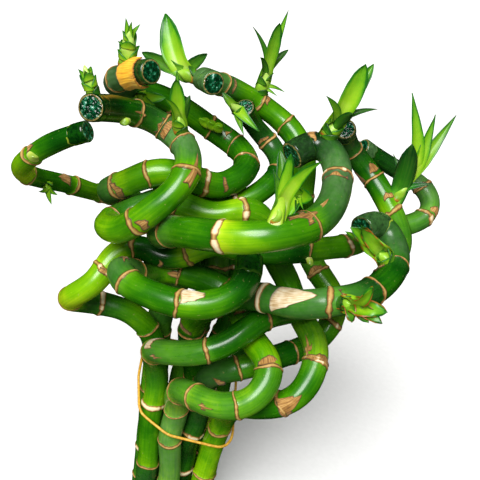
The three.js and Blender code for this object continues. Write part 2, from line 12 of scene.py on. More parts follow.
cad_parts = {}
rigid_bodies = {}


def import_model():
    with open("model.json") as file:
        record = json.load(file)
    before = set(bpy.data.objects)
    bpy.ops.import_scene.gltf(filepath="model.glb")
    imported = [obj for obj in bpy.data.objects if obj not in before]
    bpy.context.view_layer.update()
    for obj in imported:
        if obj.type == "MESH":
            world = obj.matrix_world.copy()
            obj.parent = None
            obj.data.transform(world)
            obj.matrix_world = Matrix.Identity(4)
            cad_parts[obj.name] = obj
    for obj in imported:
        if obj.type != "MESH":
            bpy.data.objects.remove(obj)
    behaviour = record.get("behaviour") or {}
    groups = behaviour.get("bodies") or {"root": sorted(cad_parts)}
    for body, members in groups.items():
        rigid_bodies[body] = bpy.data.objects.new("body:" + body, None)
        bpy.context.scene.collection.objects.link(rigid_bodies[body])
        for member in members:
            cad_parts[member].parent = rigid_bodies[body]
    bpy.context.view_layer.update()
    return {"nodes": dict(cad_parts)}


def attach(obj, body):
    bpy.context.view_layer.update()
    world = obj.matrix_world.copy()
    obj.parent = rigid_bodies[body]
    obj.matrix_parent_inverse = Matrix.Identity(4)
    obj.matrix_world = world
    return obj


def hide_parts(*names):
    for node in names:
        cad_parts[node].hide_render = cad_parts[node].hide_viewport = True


for default_object in list(bpy.data.objects):
    bpy.data.objects.remove(default_object)

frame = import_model()

MM = 0.001
BODY = "root"

# The camera and the leaves' tips were measured from the middle of the cut ends, where the cane at the
# top back stands on MEASURED_FOOT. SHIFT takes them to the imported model.
MEASURED_FOOT = np.array([4.4, -0.3, 0])


def foot_of(node):
    """The middle of a cane's cut foot, in millimetres."""
    mesh = frame["nodes"][node].data
    foot = np.array([v.co for v in mesh.vertices if v.co.z < 1e-5]) / MM
    return (foot.min(0) + foot.max(0)) / 2


SHIFT = foot_of("cane_top_back") - MEASURED_FOOT

# The photograph's camera, in millimetres and degrees
PHOTO_SIZE = 480
PHOTO_FOCAL = 782  # focal length in pixels of the photograph
SENSOR_WIDTH = 36
CAMERA_AT = np.array([6.5, -366.6, 400.5]) + SHIFT
CAMERA_DOWN = math.radians(28)
CAMERA_ROLL = math.radians(13.5)

# Fine surface of the canes
LINE_STEP = 0.25  # spacing of the points that an axis is looked up by
AROUND = 44  # points round a cane
PLAIN_STEP = 2.0  # spacing of its rows of points away from the rings
FIRST_ROW = 0.6  # the first row of points above a cane's foot
FOOT_BEVEL = 0.35
FOOT_ROWS = np.array([0.3, 0.65])  # rows of points on the flat foot, as shares of its radius
RING_STEPS = (
    -3.6, -2.7, -2.0, -1.5, -1.15, -0.85, -0.6, -0.4, -0.2, 0, 0.2, 0.4, 0.6, 0.85, 1.15, 1.5, 2.1, 2.9,
)
RING_RAISED = 0.35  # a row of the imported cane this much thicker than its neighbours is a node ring
RING_REACH = 6.0  # how far along the cane a ring's slant carries
RIDGE_HEIGHT = 0.34
RING_HALF = (0.45, 1.5)  # half the width of the thinnest and the widest ring
RING_WIDTHS = (0.15, 0.8)  # the least and the most width of a plain ring, as a share
RING_UNEVEN = 0.4  # how unevenly wide a ring is
SWELL_HEIGHT = 0.28  # a cane is thicker just under a node
SWELL_REACH = 5.0
SWELL_END = 0.8  # how soon the swelling ends beyond the node
WAIST_DEPTH = 0.14  # and thinner just beyond it
WAIST_REACH = 4.0
UNDER_WAX = 2.0  # how far the skin goes on under the wax
FRESH_REACH = 11.0  # how far the fresh yellower skin goes on beyond a node
NO_RING = 60.0  # the distance to a ring where there is none
LEVEL_FOOT = 12  # the rings' slant grows from none at the foot to all of it here
# Waves of the skin, each by how often it goes round and by its length, and how high they are
BENDS = ((1, 55), (2, -38), (2, 23), (3, 31))
BEND_HEIGHT = 0.28
FLUTES = ((9, 60), (11, -45), (7, 80))
FLUTE_HEIGHT = 0.05

# Wax on the cut tips
WAX_COAT = 0.2
WAX_FROM = 0.9  # where the wax starts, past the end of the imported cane, and how far its edge waves
WAX_FROM_WAVE = 1.6
WAX_FROM_WAVES = ((1, 1), (2, 1), (5, 1), (9, 1))
WAX_STEP = 0.7  # spacing of the rows of points
WAX_THIN = 0.15  # how far the wax runs out under the skin at its edge, and how soon it is full
WAX_THICKENS = 0.45
WAX_WAVES = ((2, 13), (3, -9), (5, 6), (4, -4.5), (7, 3.4))
WAX_LUMP = 0.07
WAX_END_LUMP = 0.45
WAX_EDGE = 1.1  # how far the rim of the flat end is rounded
WAX_FACE = (0.97, 0.93, 0.88, 0.8, 0.7, 0.5, 0.3, 0.12)  # rings of points on the flat end
# The tone of the side, as in STRETCHES, its bloom, a gray film that is partly natural wax and partly
# painted reflection, how well the tan rim of the end shows, and how light the line is where the wax starts
WAX_LOOKS = {
    "left_coil": (-0.95, 0, 1, 0), "top_left": (-0.7, 0.1, 1, 0), "top_back": (-0.3, 0.6, 1, 0),
    "inner_back": (-0.85, 0, 0.6, 0), "front_loop": (-0.9, 0.1, 1, 0), "right_loop": (-0.65, 0.25, 0.25, 1),
    "right_arm": (-0.8, 0.2, 1, 0.7), "far_right": (-0.5, 0.5, 1, 0), "far_left": (-0.75, 0, 0.15, 1),
    "low_coil": (-0.6, 0, 0.8, 0),
}

# Shoots
BLADE_ROWS = 26
BLADE_COLUMNS = 10
BLADE_THICK = 0.55
LEAF_FRONT = np.array([0, -0.88, 0.47])  # the side that the leaves turn to
LEAF_INWARD = 0.6
LEAF_HOLD = 0.42  # the share of a leaf that is bent round the stem
STEM_AROUND = 20
STEM_ROWS = 36
STEM_ROOT = 3  # how deep in its cane a stem starts
STEM_END = 1.05  # a stem's pointed end, as a share of its length
SCALE_ROWS = 8
SCALE_COLUMNS = 9
SCALE_HALF = 1.35  # how far a scale reaches round the stem to each side, in radians
SCALE_TURN = 2.4  # turn between two scales
CRUMPLE = 0.26  # how much the curled leaves wave, in leaf widths, and how much the others do
FLAT = 0.05
BUD_AROUND = 16
BUD_ROWS = 14
BUD_ROOT = 1  # how deep in its cane a bud starts
LOBE_LEAN = 0.7  # how far apart two lobes of a bud start, in half widths


def linear(color):
    """An sRGB hex colour as linear red, green, blue and alpha."""
    values = [int(color[i:i + 2], 16) / 255 for i in (1, 3, 5)]
    return [v / 12.92 if v <= 0.04045 else ((v + 0.055) / 1.055) ** 2.4 for v in values] + [1]


def unit(vectors):
    return vectors / np.linalg.norm(vectors, axis=-1, keepdims=True)


def around(count):
    """Equal turns round a full circle."""
    return np.arange(count) * 2 * math.pi / count


def triples(*parts):
    """Three numbers for each point of a grid, from parts that are spread to the grid's shape."""
    return np.stack(np.broadcast_arrays(*parts), axis=-1).reshape(-1, 3)


def smooth(values, start, end):
    """0 before start, 1 after end and a soft step between them."""
    share = np.clip((values - start) / (end - start), 0, 1)
    return share * share * (3 - 2 * share)


def ripple(rng, turns, along, waves, amount):
    """A gentle unevenness round and along a tube. Each wave is how often it goes round and its length."""
    total = np.zeros(np.broadcast(turns, along).shape)
    for times, length in waves:
        phase = rng.uniform(0, 2 * math.pi)
        total += np.sin(times * turns + 2 * math.pi * along / length + phase)
    return total * amount / len(waves)


# The camera

def camera_axes():
    """The camera's right, up and forward directions."""
    level = np.array([1, 0, 0])
    raised = np.array([0, math.sin(CAMERA_DOWN), math.cos(CAMERA_DOWN)])
    forward = np.array([0, math.cos(CAMERA_DOWN), -math.sin(CAMERA_DOWN)])
    right = math.cos(CAMERA_ROLL) * level + math.sin(CAMERA_ROLL) * raised
    up = -math.sin(CAMERA_ROLL) * level + math.cos(CAMERA_ROLL) * raised
    return right, up, forward


def add_camera():
    right, up, forward = camera_axes()
    data = bpy.data.cameras.new("photo_camera")
    data.sensor_width = SENSOR_WIDTH
    data.lens = SENSOR_WIDTH * PHOTO_FOCAL / PHOTO_SIZE
    data.clip_start = 0.01
    camera = bpy.data.objects.new("photo_camera", data)
    turned = Matrix([right, up, -forward]).transposed().to_4x4()
    camera.matrix_world = Matrix.Translation(Vector(CAMERA_AT * MM)) @ turned
    bpy.context.scene.collection.objects.link(camera)
    bpy.context.scene.camera = camera


def pixels(points):
    """Where points show in the photograph, and how far they are from the camera."""
    right, up, forward = camera_axes()
    seen = points - CAMERA_AT
    depth = seen @ forward
    middle = PHOTO_SIZE / 2
    across = middle + PHOTO_FOCAL * (seen @ right) / depth
    down = middle - PHOTO_FOCAL * (seen @ up) / depth
    return np.stack([across, down], axis=-1), depth


# The canes' axes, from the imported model

class Line:
    """The axis of a cane: places, directions and a frame that doesn't twist, by the distance along it."""

    def __init__(self, centers, ways):
        points = [centers[0]]
        for a, b, way_a, way_b in zip(centers, centers[1:], ways, ways[1:]):
            chord = np.linalg.norm(b - a)
            t = np.linspace(0, 1, max(2, math.ceil(chord / LINE_STEP)) + 1)[1:, None]
            spots = (2 * t**3 - 3 * t**2 + 1) * a + (t**3 - 2 * t**2 + t) * chord * way_a
            spots += (3 * t**2 - 2 * t**3) * b + (t**3 - t**2) * chord * way_b
            points.extend(spots)
        self.points = np.array(points)
        steps = np.linalg.norm(np.diff(self.points, axis=0), axis=1)
        self.along = np.concatenate([[0], np.cumsum(steps)])
        self.length = self.along[-1]
        self.ways = unit(np.gradient(self.points, self.along, axis=0))
        across = np.array([1.0, 0, 0])
        sides = []
        for way in self.ways:
            across = unit(across - way * (across @ way))
            sides.append(across)
        self.sides = np.array(sides)
        self.others = np.cross(self.ways, self.sides)

    def look(self, table, along):
        return np.stack([np.interp(along, self.along, table[:, k]) for k in range(3)], axis=-1)

    def at(self, along):
        return self.look(self.points, along)

    def place(self, along, turn, radius):
        """Points at a distance from the axis, at a turn round it."""
        side = self.look(self.sides, along)
        other = self.look(self.others, along)
        outward = side * np.cos(turn)[..., None] + other * np.sin(turn)[..., None]
        return self.at(along) + outward * radius[..., None]

    def turn(self, along, outward):
        """The turn round the axis that a direction has."""
        return math.atan2(outward @ self.look(self.others, along), outward @ self.look(self.sides, along))

    def nearest(self, point):
        return self.along[np.argmin(np.linalg.norm(self.points - point, axis=1))]


def rows_from(node, start):
    """The rows of points round a tube, in order, from the point of its end cap that is nearest to start."""
    mesh = frame["nodes"][node].data
    places = {}
    index = [places.setdefault(tuple(round(c, 6) for c in v.co), len(places)) for v in mesh.vertices]
    points = np.array(list(places)) / MM
    near = [set() for _ in points]
    for edge in mesh.edges:
        a, b = (index[v] for v in edge.vertices)
        if a != b:
            near[a].add(b)
            near[b].add(a)
    first = int(np.argmin(np.linalg.norm(points - start, axis=1)))
    seen = {first}
    front = [first]
    rows = []
    while front:
        front = sorted({n for i in front for n in near[i]} - seen)
        seen.update(front)
        if len(front) > 1:
            rows.append(points[front])
    return rows


def row_ways(rows, centers):
    """The direction across each row, pointing along the tube."""
    towards = np.gradient(centers, axis=0)
    ways = []
    for row, center, ahead in zip(rows, centers, towards):
        way = np.linalg.svd(row - center)[2][2]
        ways.append(way if way @ ahead > 0 else -way)
    return np.array(ways)


Cane = namedtuple("Cane", "name line radius wax_from rings rng")


def read_cane(name, seed):
    """One cane as it was packed: its axis with the waxed tip, its thickness and its node rings."""
    node = "cane_" + name
    rows = rows_from(node, foot_of(node))
    cane_rows = len(rows)
    rows += rows_from("wax_tip_" + name, rows[-1].mean(0))
    centers = np.array([row.mean(0) for row in rows])
    sizes = np.array([np.linalg.norm(row - row.mean(0), axis=1).max() for row in rows])
    line = Line(centers, row_ways(rows, centers))
    marks = np.array([line.nearest(center) for center in centers])
    raised = [
        k for k in range(1, cane_rows - 1)
        if sizes[k] > max(sizes[k - 1], sizes[k + 1]) + RING_RAISED
    ]
    plain = [k for k in range(cane_rows) if k not in raised]

    def radius(along):
        return np.interp(along, marks[plain], sizes[plain])

    wax_from = marks[cane_rows]
    return Cane(name, line, radius, wax_from, marks[raised], np.random.default_rng(seed))


# Meshes

def add_mesh(name, points, faces, attributes=None):
    """A mesh object from points in millimetres. attributes: a vector for each point, by name."""
    mesh = bpy.data.meshes.new(name)
    mesh.from_pydata((np.asarray(points) * MM).tolist(), [], faces)
    for key, values in (attributes or {}).items():
        layer = mesh.attributes.new(key, "FLOAT_VECTOR", "POINT")
        layer.data.foreach_set("vector", np.asarray(values, np.float32).ravel())
    mesh.polygons.foreach_set("use_smooth", [True] * len(mesh.polygons))
    mesh.update()
    thing = bpy.data.objects.new(name, mesh)
    bpy.context.scene.collection.objects.link(thing)
    return thing


def finish_piece(thing, material, slot, *nodes):
    """Gives a piece its material and its place among the part's bodies. Its slot is not used."""
    thing.data.materials.append(material)
    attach(thing, BODY)
    if nodes:
        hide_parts(*nodes)
    return thing


def tube_faces(rows, columns):
    """Faces of a tube of rows, closed by a point at each end that comes before and after the rows."""
    end = 1 + rows * columns
    faces = []
    for k in range(columns):
        after = (k + 1) % columns
        faces.append((0, 1 + after, 1 + k))
        faces.append((end, end - columns + k, end - columns + after))
        for a in range(1, end - columns, columns):
            faces.append((a + k, a + after, a + columns + after, a + columns + k))
    return faces


def sheet_faces(rows, columns):
    """Faces of a thin closed sheet: an upper grid of points, then the same grid for its lower side."""
    lower = rows * columns
    grid = np.arange(lower).reshape(rows, columns)
    faces = []
    for a in grid[:-1, :-1].ravel().tolist():
        b = a + columns
        faces.append((a, a + 1, b + 1, b))
        faces.append((lower + a, lower + b, lower + b + 1, lower + a + 1))
    rim = np.concatenate([grid[0], grid[1:, -1], grid[-1, -2::-1], grid[-2:0:-1, 0]]).tolist()
    for a, b in zip(rim, rim[1:] + rim[:1]):
        faces.append((b, a, lower + a, lower + b))
    return faces


class Bundle:
    """Closed bodies that make one piece, with three numbers of each name for each point."""

    def __init__(self):
        self.points = []
        self.faces = []
        self.vectors = {}

    def add(self, points, faces, vectors):
        first = sum(map(len, self.points))
        self.points.append(points)
        self.faces.extend(tuple(v + first for v in face) for face in faces)
        for key, values in vectors.items():
            self.vectors.setdefault(key, []).append(values)

    def add_tube(self, rows, first_point, last_point, **vectors):
        """A tube from its rows of points, closed by a point at each end with its neighbour's vectors."""
        points = np.concatenate([[first_point], rows.reshape(-1, 3), [last_point]])
        ended = {key: np.concatenate([v[:1], v, v[-1:]]) for key, v in vectors.items()}
        self.add(points, tube_faces(*rows.shape[:2]), ended)

    def add_sheet(self, upper, lower, **vectors):
        """A thin sheet from its upper and its lower grid of points, closed along its edge."""
        points = np.concatenate([upper.reshape(-1, 3), lower.reshape(-1, 3)])
        doubled = {key: np.tile(v, (2, 1)) for key, v in vectors.items()}
        self.add(points, sheet_faces(*upper.shape[:2]), doubled)

    def made(self, name):
        vectors = {key: np.concatenate(values) for key, values in self.vectors.items()}
        return add_mesh(name, np.concatenate(self.points), self.faces, vectors)


# Canes

# Rings that show wide and cream in the photograph, by the pixel where each is
CREAM_RINGS = {"front_loop": [(222, 234)], "right_loop": [(275, 298)], "right_arm": [(150, 402)]}
CREAM_WIDTH = 1.7  # past 1, so that they stay wide all the way round

# How each cane is coloured along it: millimetres from the foot, tone from -1 (deep green) to 1 (fresh
# yellow-green), partly the cane's own colour and partly painted shade where a stretch lies in shade or
# behind other canes and painted light where it is lit, and bloom, a gray film that is partly natural wax
# and partly painted reflection at bends and edges
STRETCHES = {
    "left_coil": [
        (0, 0.2, 0), (60, 0.35, 0), (140, -0.2, 0), (170, -0.1, 0), (192, 0.3, 0.1), (230, 0, 0),
        (290, 0.3, 0), (320, 0.3, 0), (345, -0.2, 0.2), (362, 0, 0), (380, 0.3, 0), (396, 0.15, 0),
        (418, 0.05, 0), (424, 0.2, 0), (433, 0.2, 0), (438, -0.15, 0.3), (450, -0.25, 0.6),
        (462, -0.25, 0.5), (470, -0.5, 0.1), (490, -0.7, 0), (505, -0.95, 0),
    ],
    "top_left": [
        (0, 0, 0), (250, -0.15, 0.2), (279, -0.05, 0.3), (284, 0.25, 0), (310, 0.1, 0), (330, -0.1, 0),
        (350, -0.4, 0), (372, -0.3, 0), (395, -0.25, 0), (418, -0.15, 0), (440, -0.5, 0), (460, -0.5, 0.5),
        (474, -0.6, 0.6), (490, -0.6, 0),
    ],
    "top_back": [
        (0, -0.6, 0), (110, -0.6, 0.1), (130, -0.4, 0.3), (150, -0.1, 0), (172, -0.6, 0), (205, 0.2, 0),
        (240, 0.1, 0), (260, -0.2, 0.2), (295, 0, 0), (335, -0.1, 0), (352, -0.1, 0), (375, 0, 0),
        (392, -0.2, 0.4), (412, -0.1, 0.7), (425, -0.3, 0.6),
    ],
    "inner_back": [
        (0, 0, 0), (170, -0.2, 0), (325, 0.15, 0), (350, -0.5, 0), (372, -0.5, 0.1), (402, -0.75, 0),
    ],
    "front_loop": [
        (0, 0.1, 0), (225, -0.1, 0.3), (264, -0.1, 0.2), (275, -0.15, 0), (296, -0.1, 0), (300, 0.75, 0),
        (308, 0.35, 0), (322, 0.1, 0), (338, 0, 0), (350, -0.35, 0.2), (372, -0.35, 0.5), (388, -0.4, 0.6),
        (402, -0.7, 0.2), (414, -0.9, 0),
    ],
    "right_loop": [
        (0, 0.3, 0), (80, 0.3, 0), (105, -0.6, 0), (148, -0.6, 0), (152, 0.2, 0), (200, -0.4, 0),
        (222, -0.3, 0.2), (252, -0.15, 0.3), (266, -0.4, 0.15), (280, -0.65, 0), (296, -0.65, 0),
        (304, -0.55, 0.1), (310, -0.5, 0.3), (328, -0.6, 0.2),
    ],
    "right_arm": [
        (0, -0.5, 0.2), (46, -0.55, 0.1), (50, 0.1, 0), (90, 0, 0), (96, 0.15, 0), (136, 0, 0.1),
        (150, 0, 0.25), (182, 0.15, 0.1), (187, -0.4, 0), (215, -0.4, 0), (340, 0.15, 0.1), (352, 0.2, 0),
        (358, -0.3, 0), (375, -0.5, 0), (401, -0.75, 0.2),
    ],
    "far_right": [
        (0, -0.2, 0.1), (130, -0.1, 0), (150, 0.2, 0), (168, -0.5, 0.1), (180, -0.4, 0.1), (192, 0.6, 0),
        (215, 0.6, 0), (238, 0.5, 0), (246, -0.7, 0), (262, -0.6, 0), (272, 0.4, 0), (290, 0, 0),
        (335, -0.6, 0), (345, 0.1, 0), (372, 0, 0), (408, 0.25, 0.1), (430, 0.05, 0.3), (450, -0.2, 0.5),
        (462, -0.7, 0.1), (487, -0.7, 0),
    ],
    "far_left": [
        (0, 0, 0.1), (130, -0.3, 0), (240, 0.1, 0), (262, 0.2, 0), (281, 0.1, 0), (288, -0.4, 0),
        (312, -0.1, 0), (322, 0.65, 0), (345, 0.6, 0), (353, 0.1, 0), (362, -0.25, 0), (375, -0.5, 0),
    ],
    "low_coil": [
        (0, 0.1, 0.5), (90, 0.15, 0.5), (120, 0.15, 0.2), (170, 0.1, 0.1), (205, 0.2, 0), (226, 0.05, 0),
        (250, -0.5, 0), (262, -0.4, 0), (285, 0.2, 0), (312, 0, 0.2), (325, 0, 0.5), (345, -0.1, 0),
        (368, -0.15, 0), (376, 0.05, 0), (392, -0.15, 0), (408, -0.7, 0),
    ],
}


def ring_widths(cane):
    """How wide each ring of a cane is, from 0 to 1."""
    widths = cane.rng.uniform(*RING_WIDTHS, len(cane.rings))
    for spot in CREAM_RINGS.get(cane.name, []):
        along, _ = find_spot(cane, spot)
        widths[np.argmin(np.abs(cane.rings - along))] = CREAM_WIDTH
    return widths


def node_vectors(cane, along, turns, widths):
    """For the skin's colours at each point: the distance to the nearest ring, how wide that ring is
    there, and how fresh the skin is just beyond a node."""
    gaps = along[:, None] - cane.rings
    nearest = np.argmin(np.abs(gaps), axis=1)
    past = np.where(gaps >= 0, gaps, NO_RING).min(axis=1)
    uneven = np.ones((len(cane.rings), len(turns)))
    for waves in (1, 2, 5, 9):
        phase = cane.rng.uniform(0, 2 * math.pi, (len(cane.rings), 1))
        uneven += RING_UNEVEN / waves**0.3 * np.sin(waves * turns + phase)
    width = np.clip(widths[nearest][:, None] * uneven[nearest], 0, 1)
    return triples(np.abs(gaps).min(axis=1)[:, None], width, np.exp(-past / FRESH_REACH)[:, None])


def tone_and_shade_vectors(cane, along):
    """The skin's tone, partly painted shade and light, and its bloom, partly painted reflection, at each
    place along a cane.
    """
    marks, tones_and_shade, blooms_and_sheen = zip(*STRETCHES[cane.name])
    return triples(np.interp(along, marks, tones_and_shade), np.interp(along, marks, blooms_and_sheen), 0)


def skin_radius(cane, along, widths):
    """The thickness of a cane with the swelling and the raised line at each node."""
    size = cane.radius(along)
    for ring, width in zip(cane.rings, widths):
        gap = along - ring
        half = RING_HALF[0] + (RING_HALF[1] - RING_HALF[0]) * width
        size = size + RIDGE_HEIGHT * np.exp(-(gap / half) ** 4)
        size = size + SWELL_HEIGHT * np.where(gap < 0, np.exp(gap / SWELL_REACH), np.exp(-gap / SWELL_END))
        size = size - WAIST_DEPTH * np.where(gap > 0, np.exp(-gap / WAIST_REACH) * (1 - np.exp(-gap)), 0)
    return size


def ring_slants(cane, turns, along):
    """How far the rings lean and wave along the cane, which the rows of points near them follow."""
    shift = np.zeros((len(along), len(turns)))
    for ring in cane.rings:
        lean, wave, phase, phase2 = cane.rng.uniform([0.3, 0.15, 0, 0], [1.3, 0.5, 6.3, 6.3])
        slant = lean * np.sin(turns + phase) + wave * np.sin(3 * turns + phase2)
        shift += np.exp(-((along - ring) / RING_REACH) ** 2)[:, None] * slant
    return shift


def cane_skin(cane, material):
    """The whole cane as one closed skin, from its cut foot to just under the wax."""
    end = cane.wax_from + UNDER_WAX
    marks = set(np.arange(FIRST_ROW, end, PLAIN_STEP).round(3))
    for ring in cane.rings:
        marks = {m for m in marks if abs(m - ring) > 1.2 * RING_STEPS[-1]}
        marks.update(round(ring + step, 3) for step in RING_STEPS if FIRST_ROW < ring + step < end)
    along = np.array(sorted(marks | {0.0, round(end, 3)}))
    turns = around(AROUND)
    widths = ring_widths(cane)
    spots = along[:, None] + ring_slants(cane, turns, along) * smooth(along, 0, LEVEL_FOOT)[:, None]
    size = skin_radius(cane, along, widths)[:, None]
    size = size + ripple(cane.rng, turns, along[:, None], BENDS, BEND_HEIGHT)
    size = size + ripple(cane.rng, turns, along[:, None], FLUTES, FLUTE_HEIGHT)
    size[0] = size[1] - FOOT_BEVEL
    rows = cane.line.place(spots, turns, size)
    rows[0, :, 2] = 0
    foot = rows[0].mean(0)
    rows = np.concatenate([foot + (rows[0] - foot) * FOOT_ROWS[:, None, None], rows])
    node = node_vectors(cane, along, turns, widths)
    cut_face = np.tile([NO_RING, 0, -1], ((len(FOOT_ROWS) + 1) * AROUND, 1))
    length = np.concatenate([[0, 0], along])
    thick = np.concatenate([[2, 4], cane.radius(along)])[:, None]
    grain = triples(thick * np.cos(turns), thick * np.sin(turns), length[:, None])
    skin = Bundle()
    # The tone attribute holds the skin's tone, partly painted shade and light, and its bloom, a gray film
    # that is partly painted reflection
    skin.add_tube(
        rows, foot, cane.line.at(end),
        grain=grain + 100 * cane.rng.uniform(0, 9, 3).round(),
        node=np.concatenate([cut_face, node[AROUND:]]),
        tone=np.repeat(tone_and_shade_vectors(cane, length), AROUND, axis=0),
    )
    return finish_piece(skin.made("skin_" + cane.name), material, "cane", "cane_" + cane.name)


def wax_cap(cane, material):
    """The wax that the cut tip was dipped in: a thin wavy edge, an uneven coat and a rough flat end."""
    rng = cane.rng
    turns = around(AROUND)
    start = cane.wax_from
    end = cane.line.length
    edge = start + WAX_FROM + ripple(rng, turns, 0, WAX_FROM_WAVES, WAX_FROM_WAVE)
    body = np.linspace(0, 1, max(6, round((end - start) / WAX_STEP)))
    last = end - 0.5 * WAX_EDGE
    spots = edge + (last - edge) * body[:, None]
    size = cane.radius(spots) + WAX_COAT + ripple(rng, turns, spots, WAX_WAVES, 2 * WAX_LUMP)
    from_edge = (spots - edge) / (last - edge) * (end - start)
    size -= (WAX_COAT + WAX_THIN) * np.exp(-from_edge / WAX_THICKENS)
    size -= 0.6 * WAX_EDGE * smooth(spots, end - 1.4 * WAX_EDGE, end) ** 2
    rows = cane.line.place(spots, turns, size)
    tip = cane.line.at(end)
    way = cane.line.ways[-1]
    face = []
    for share in WAX_FACE:
        uneven = ripple(rng, turns, share * 9, WAX_WAVES[:4], WAX_END_LUMP) * (1 - share)
        lift = 0.5 * WAX_EDGE * (1 - share**6) + uneven
        ring = tip - way * 0.5 * WAX_EDGE + (rows[-1] - rows[-1].mean(0)) * share
        face.append(ring + way * lift[:, None] * 0.9)
    # On the side: 2 and the distance to the wax's edge. On the end: how far out from its middle.
    tone, bloom_and_sheen, rim, line = WAX_LOOKS[cane.name]
    coat = np.concatenate([triples(2, from_edge, tone), triples(np.repeat(WAX_FACE, AROUND), 9, tone)])
    cap = Bundle()
    cap.add_tube(
        np.concatenate([rows, face]), cane.line.at(start + 2), tip - way * 0.3,
        coat=coat, film=np.tile([bloom_and_sheen, rim, line], (len(coat), 1)),
    )
    return finish_piece(cap.made("wax_" + cane.name), material, "wax", "wax_tip_" + cane.name)


# Remains of the leaf sheaths that cling to the canes

# A scrap: the pixel where it shows, its width and length, its shape, how far it lifts, and whether it
# is pale
Scrap = namedtuple("Scrap", "spot wide long shape lift pale", defaults=(False,))

SCRAPS = {
    "left_coil": [
        Scrap((283, 408), 15, 11, "tongue", 0.3), Scrap((318, 366), 16, 5, "ragged", 0.3),
        Scrap((308, 353), 6, 10, "star", 0.1), Scrap((185, 187), 5, 14, "tongue", 0.1),
        Scrap((174, 136), 12, 8, "ragged", 0.4), Scrap((160, 126), 10, 4, "twin", 0.2),
        Scrap((133, 111), 5, 6, "star", 0.1), Scrap((145, 224), 8, 5, "ragged", 0.2),
    ],
    "top_left": [
        Scrap((123, 190), 12, 5, "ragged", 0.3), Scrap((218, 185), 9, 3, "ragged", 0.2),
        Scrap((231, 136), 8, 3, "twin", 0.3),
    ],
    "top_back": [
        Scrap((222, 383), 13, 5, "tongue", 0.3), Scrap((316, 272), 11, 5, "ragged", 0.3),
        Scrap((229, 84), 10, 3, "ragged", 0.2), Scrap((268, 100), 7, 4, "ragged", 0.3),
    ],
    "inner_back": [Scrap((263, 141), 9, 4, "ragged", 0.3)],
    "front_loop": [
        Scrap((299, 219), 10, 9, "star", 0.1), Scrap((284, 220), 3, 12, "tongue", 0.1),
        Scrap((312, 213), 3, 10, "tongue", 0.1), Scrap((334, 187), 14, 4, "twin", 0.3),
        Scrap((316, 134), 11, 4.5, "ragged", 0.3),
    ],
    "right_loop": [
        Scrap((281, 295), 21, 23, "tongue", 0.3, True), Scrap((184, 322), 14, 5, "sleeve", 0.4),
        Scrap((368, 262), 6, 9, "tongue", 0.3), Scrap((338, 298), 10, 3, "twin", 0.2),
    ],
    "right_arm": [
        Scrap((360, 187), 9, 9, "tongue", 0.3), Scrap((376, 172), 8, 7, "tongue", 0.3),
        Scrap((163, 358), 3, 7, "star", 0.1), Scrap((152, 330), 13, 9, "sleeve", 0.3, True),
        Scrap((390, 199), 7, 4, "ragged", 0.3),
    ],
    "far_right": [
        Scrap((159, 264), 6, 3, "ragged", 0.2), Scrap((106, 277), 12, 4, "ragged", 0.3),
        Scrap((420, 190), 11, 4, "ragged", 0.3), Scrap((431, 217), 8, 5, "ragged", 0.2),
    ],
    "far_left": [Scrap((66, 178), 9, 10, "tongue", 0.3), Scrap((31, 146), 4, 5, "ragged", 0.2)],
    "low_coil": [
        Scrap((268, 370), 12, 5, "ragged", 0.3), Scrap((183, 294), 11, 13, "tongue", 0.2, True),
        Scrap((210, 409), 4, 6, "star", 0.1), Scrap((178, 275), 4, 8, "ragged", 0.4),
        Scrap((244, 316), 11, 6, "tongue", 0.3), Scrap((117, 266), 5, 5, "star", 0.1),
    ],
}
SCRAP_ROWS = 9
SCRAP_COLUMNS = 18
SCRAP_THICK = 0.16
SCRAP_UNDER = 0.3  # how deep its lower side lies in the cane's skin
SPOT_POINTS = 80  # how many points of the axis to each side are searched for a spot
SPOT_EDGE = 0.95  # the furthest out that a spot lies on its cane, as a share of the radius


def find_spot(cane, spot):
    """The place on a cane's skin that shows at a pixel: how far along, and the turn round the axis."""
    seen, depth = pixels(cane.line.points)
    off = np.linalg.norm(seen - spot, axis=1)
    reach = cane.radius(cane.line.along) * PHOTO_FOCAL / depth
    inside = np.where(off < reach, depth + off, np.inf)
    k = int(np.argmin(inside)) if np.isfinite(inside.min()) else int(np.argmin(off))
    window = slice(max(0, k - SPOT_POINTS), k + SPOT_POINTS)
    k = window.start + int(np.argmin(off[window]))
    center = cane.line.points[k]
    way = cane.line.ways[k]
    toward = unit(CAMERA_AT - center)
    facing = unit(toward - way * (toward @ way))
    sideways = np.cross(way, facing)
    shown, _ = pixels(np.array([center, center + sideways]))
    step = shown[1] - shown[0]
    along = cane.line.along[k]
    share = (np.array(spot) - shown[0]) @ step / (step @ step) / cane.radius(along)
    lean = math.asin(float(np.clip(share, -SPOT_EDGE, SPOT_EDGE)))
    return along, cane.line.turn(along, facing * math.cos(lean) + sideways * math.sin(lean))


def scrap_reach(shape, across, rng):
    """How far a scrap reaches along the cane, by the place across it from -1 to 1."""
    torn = sum(rng.uniform(0.3, 1) * np.sin(across * f + rng.uniform(0, 6.3)) for f in (5, 9, 15, 23)) / 4
    forms = {
        "tongue": 1 - np.abs(across) ** 1.3,
        "ragged": 0.62 + 0.2 * np.cos(across * 2.2),
        "sleeve": 0.85 + 0 * across,
        "star": np.exp(-(across / 0.25) ** 2) * 0.8 + 0.25,
        "twin": 0.5 + 0.4 * np.cos(across * 5),
    }
    return np.clip(forms[shape] + 0.22 * torn, 0.06, 1.15)


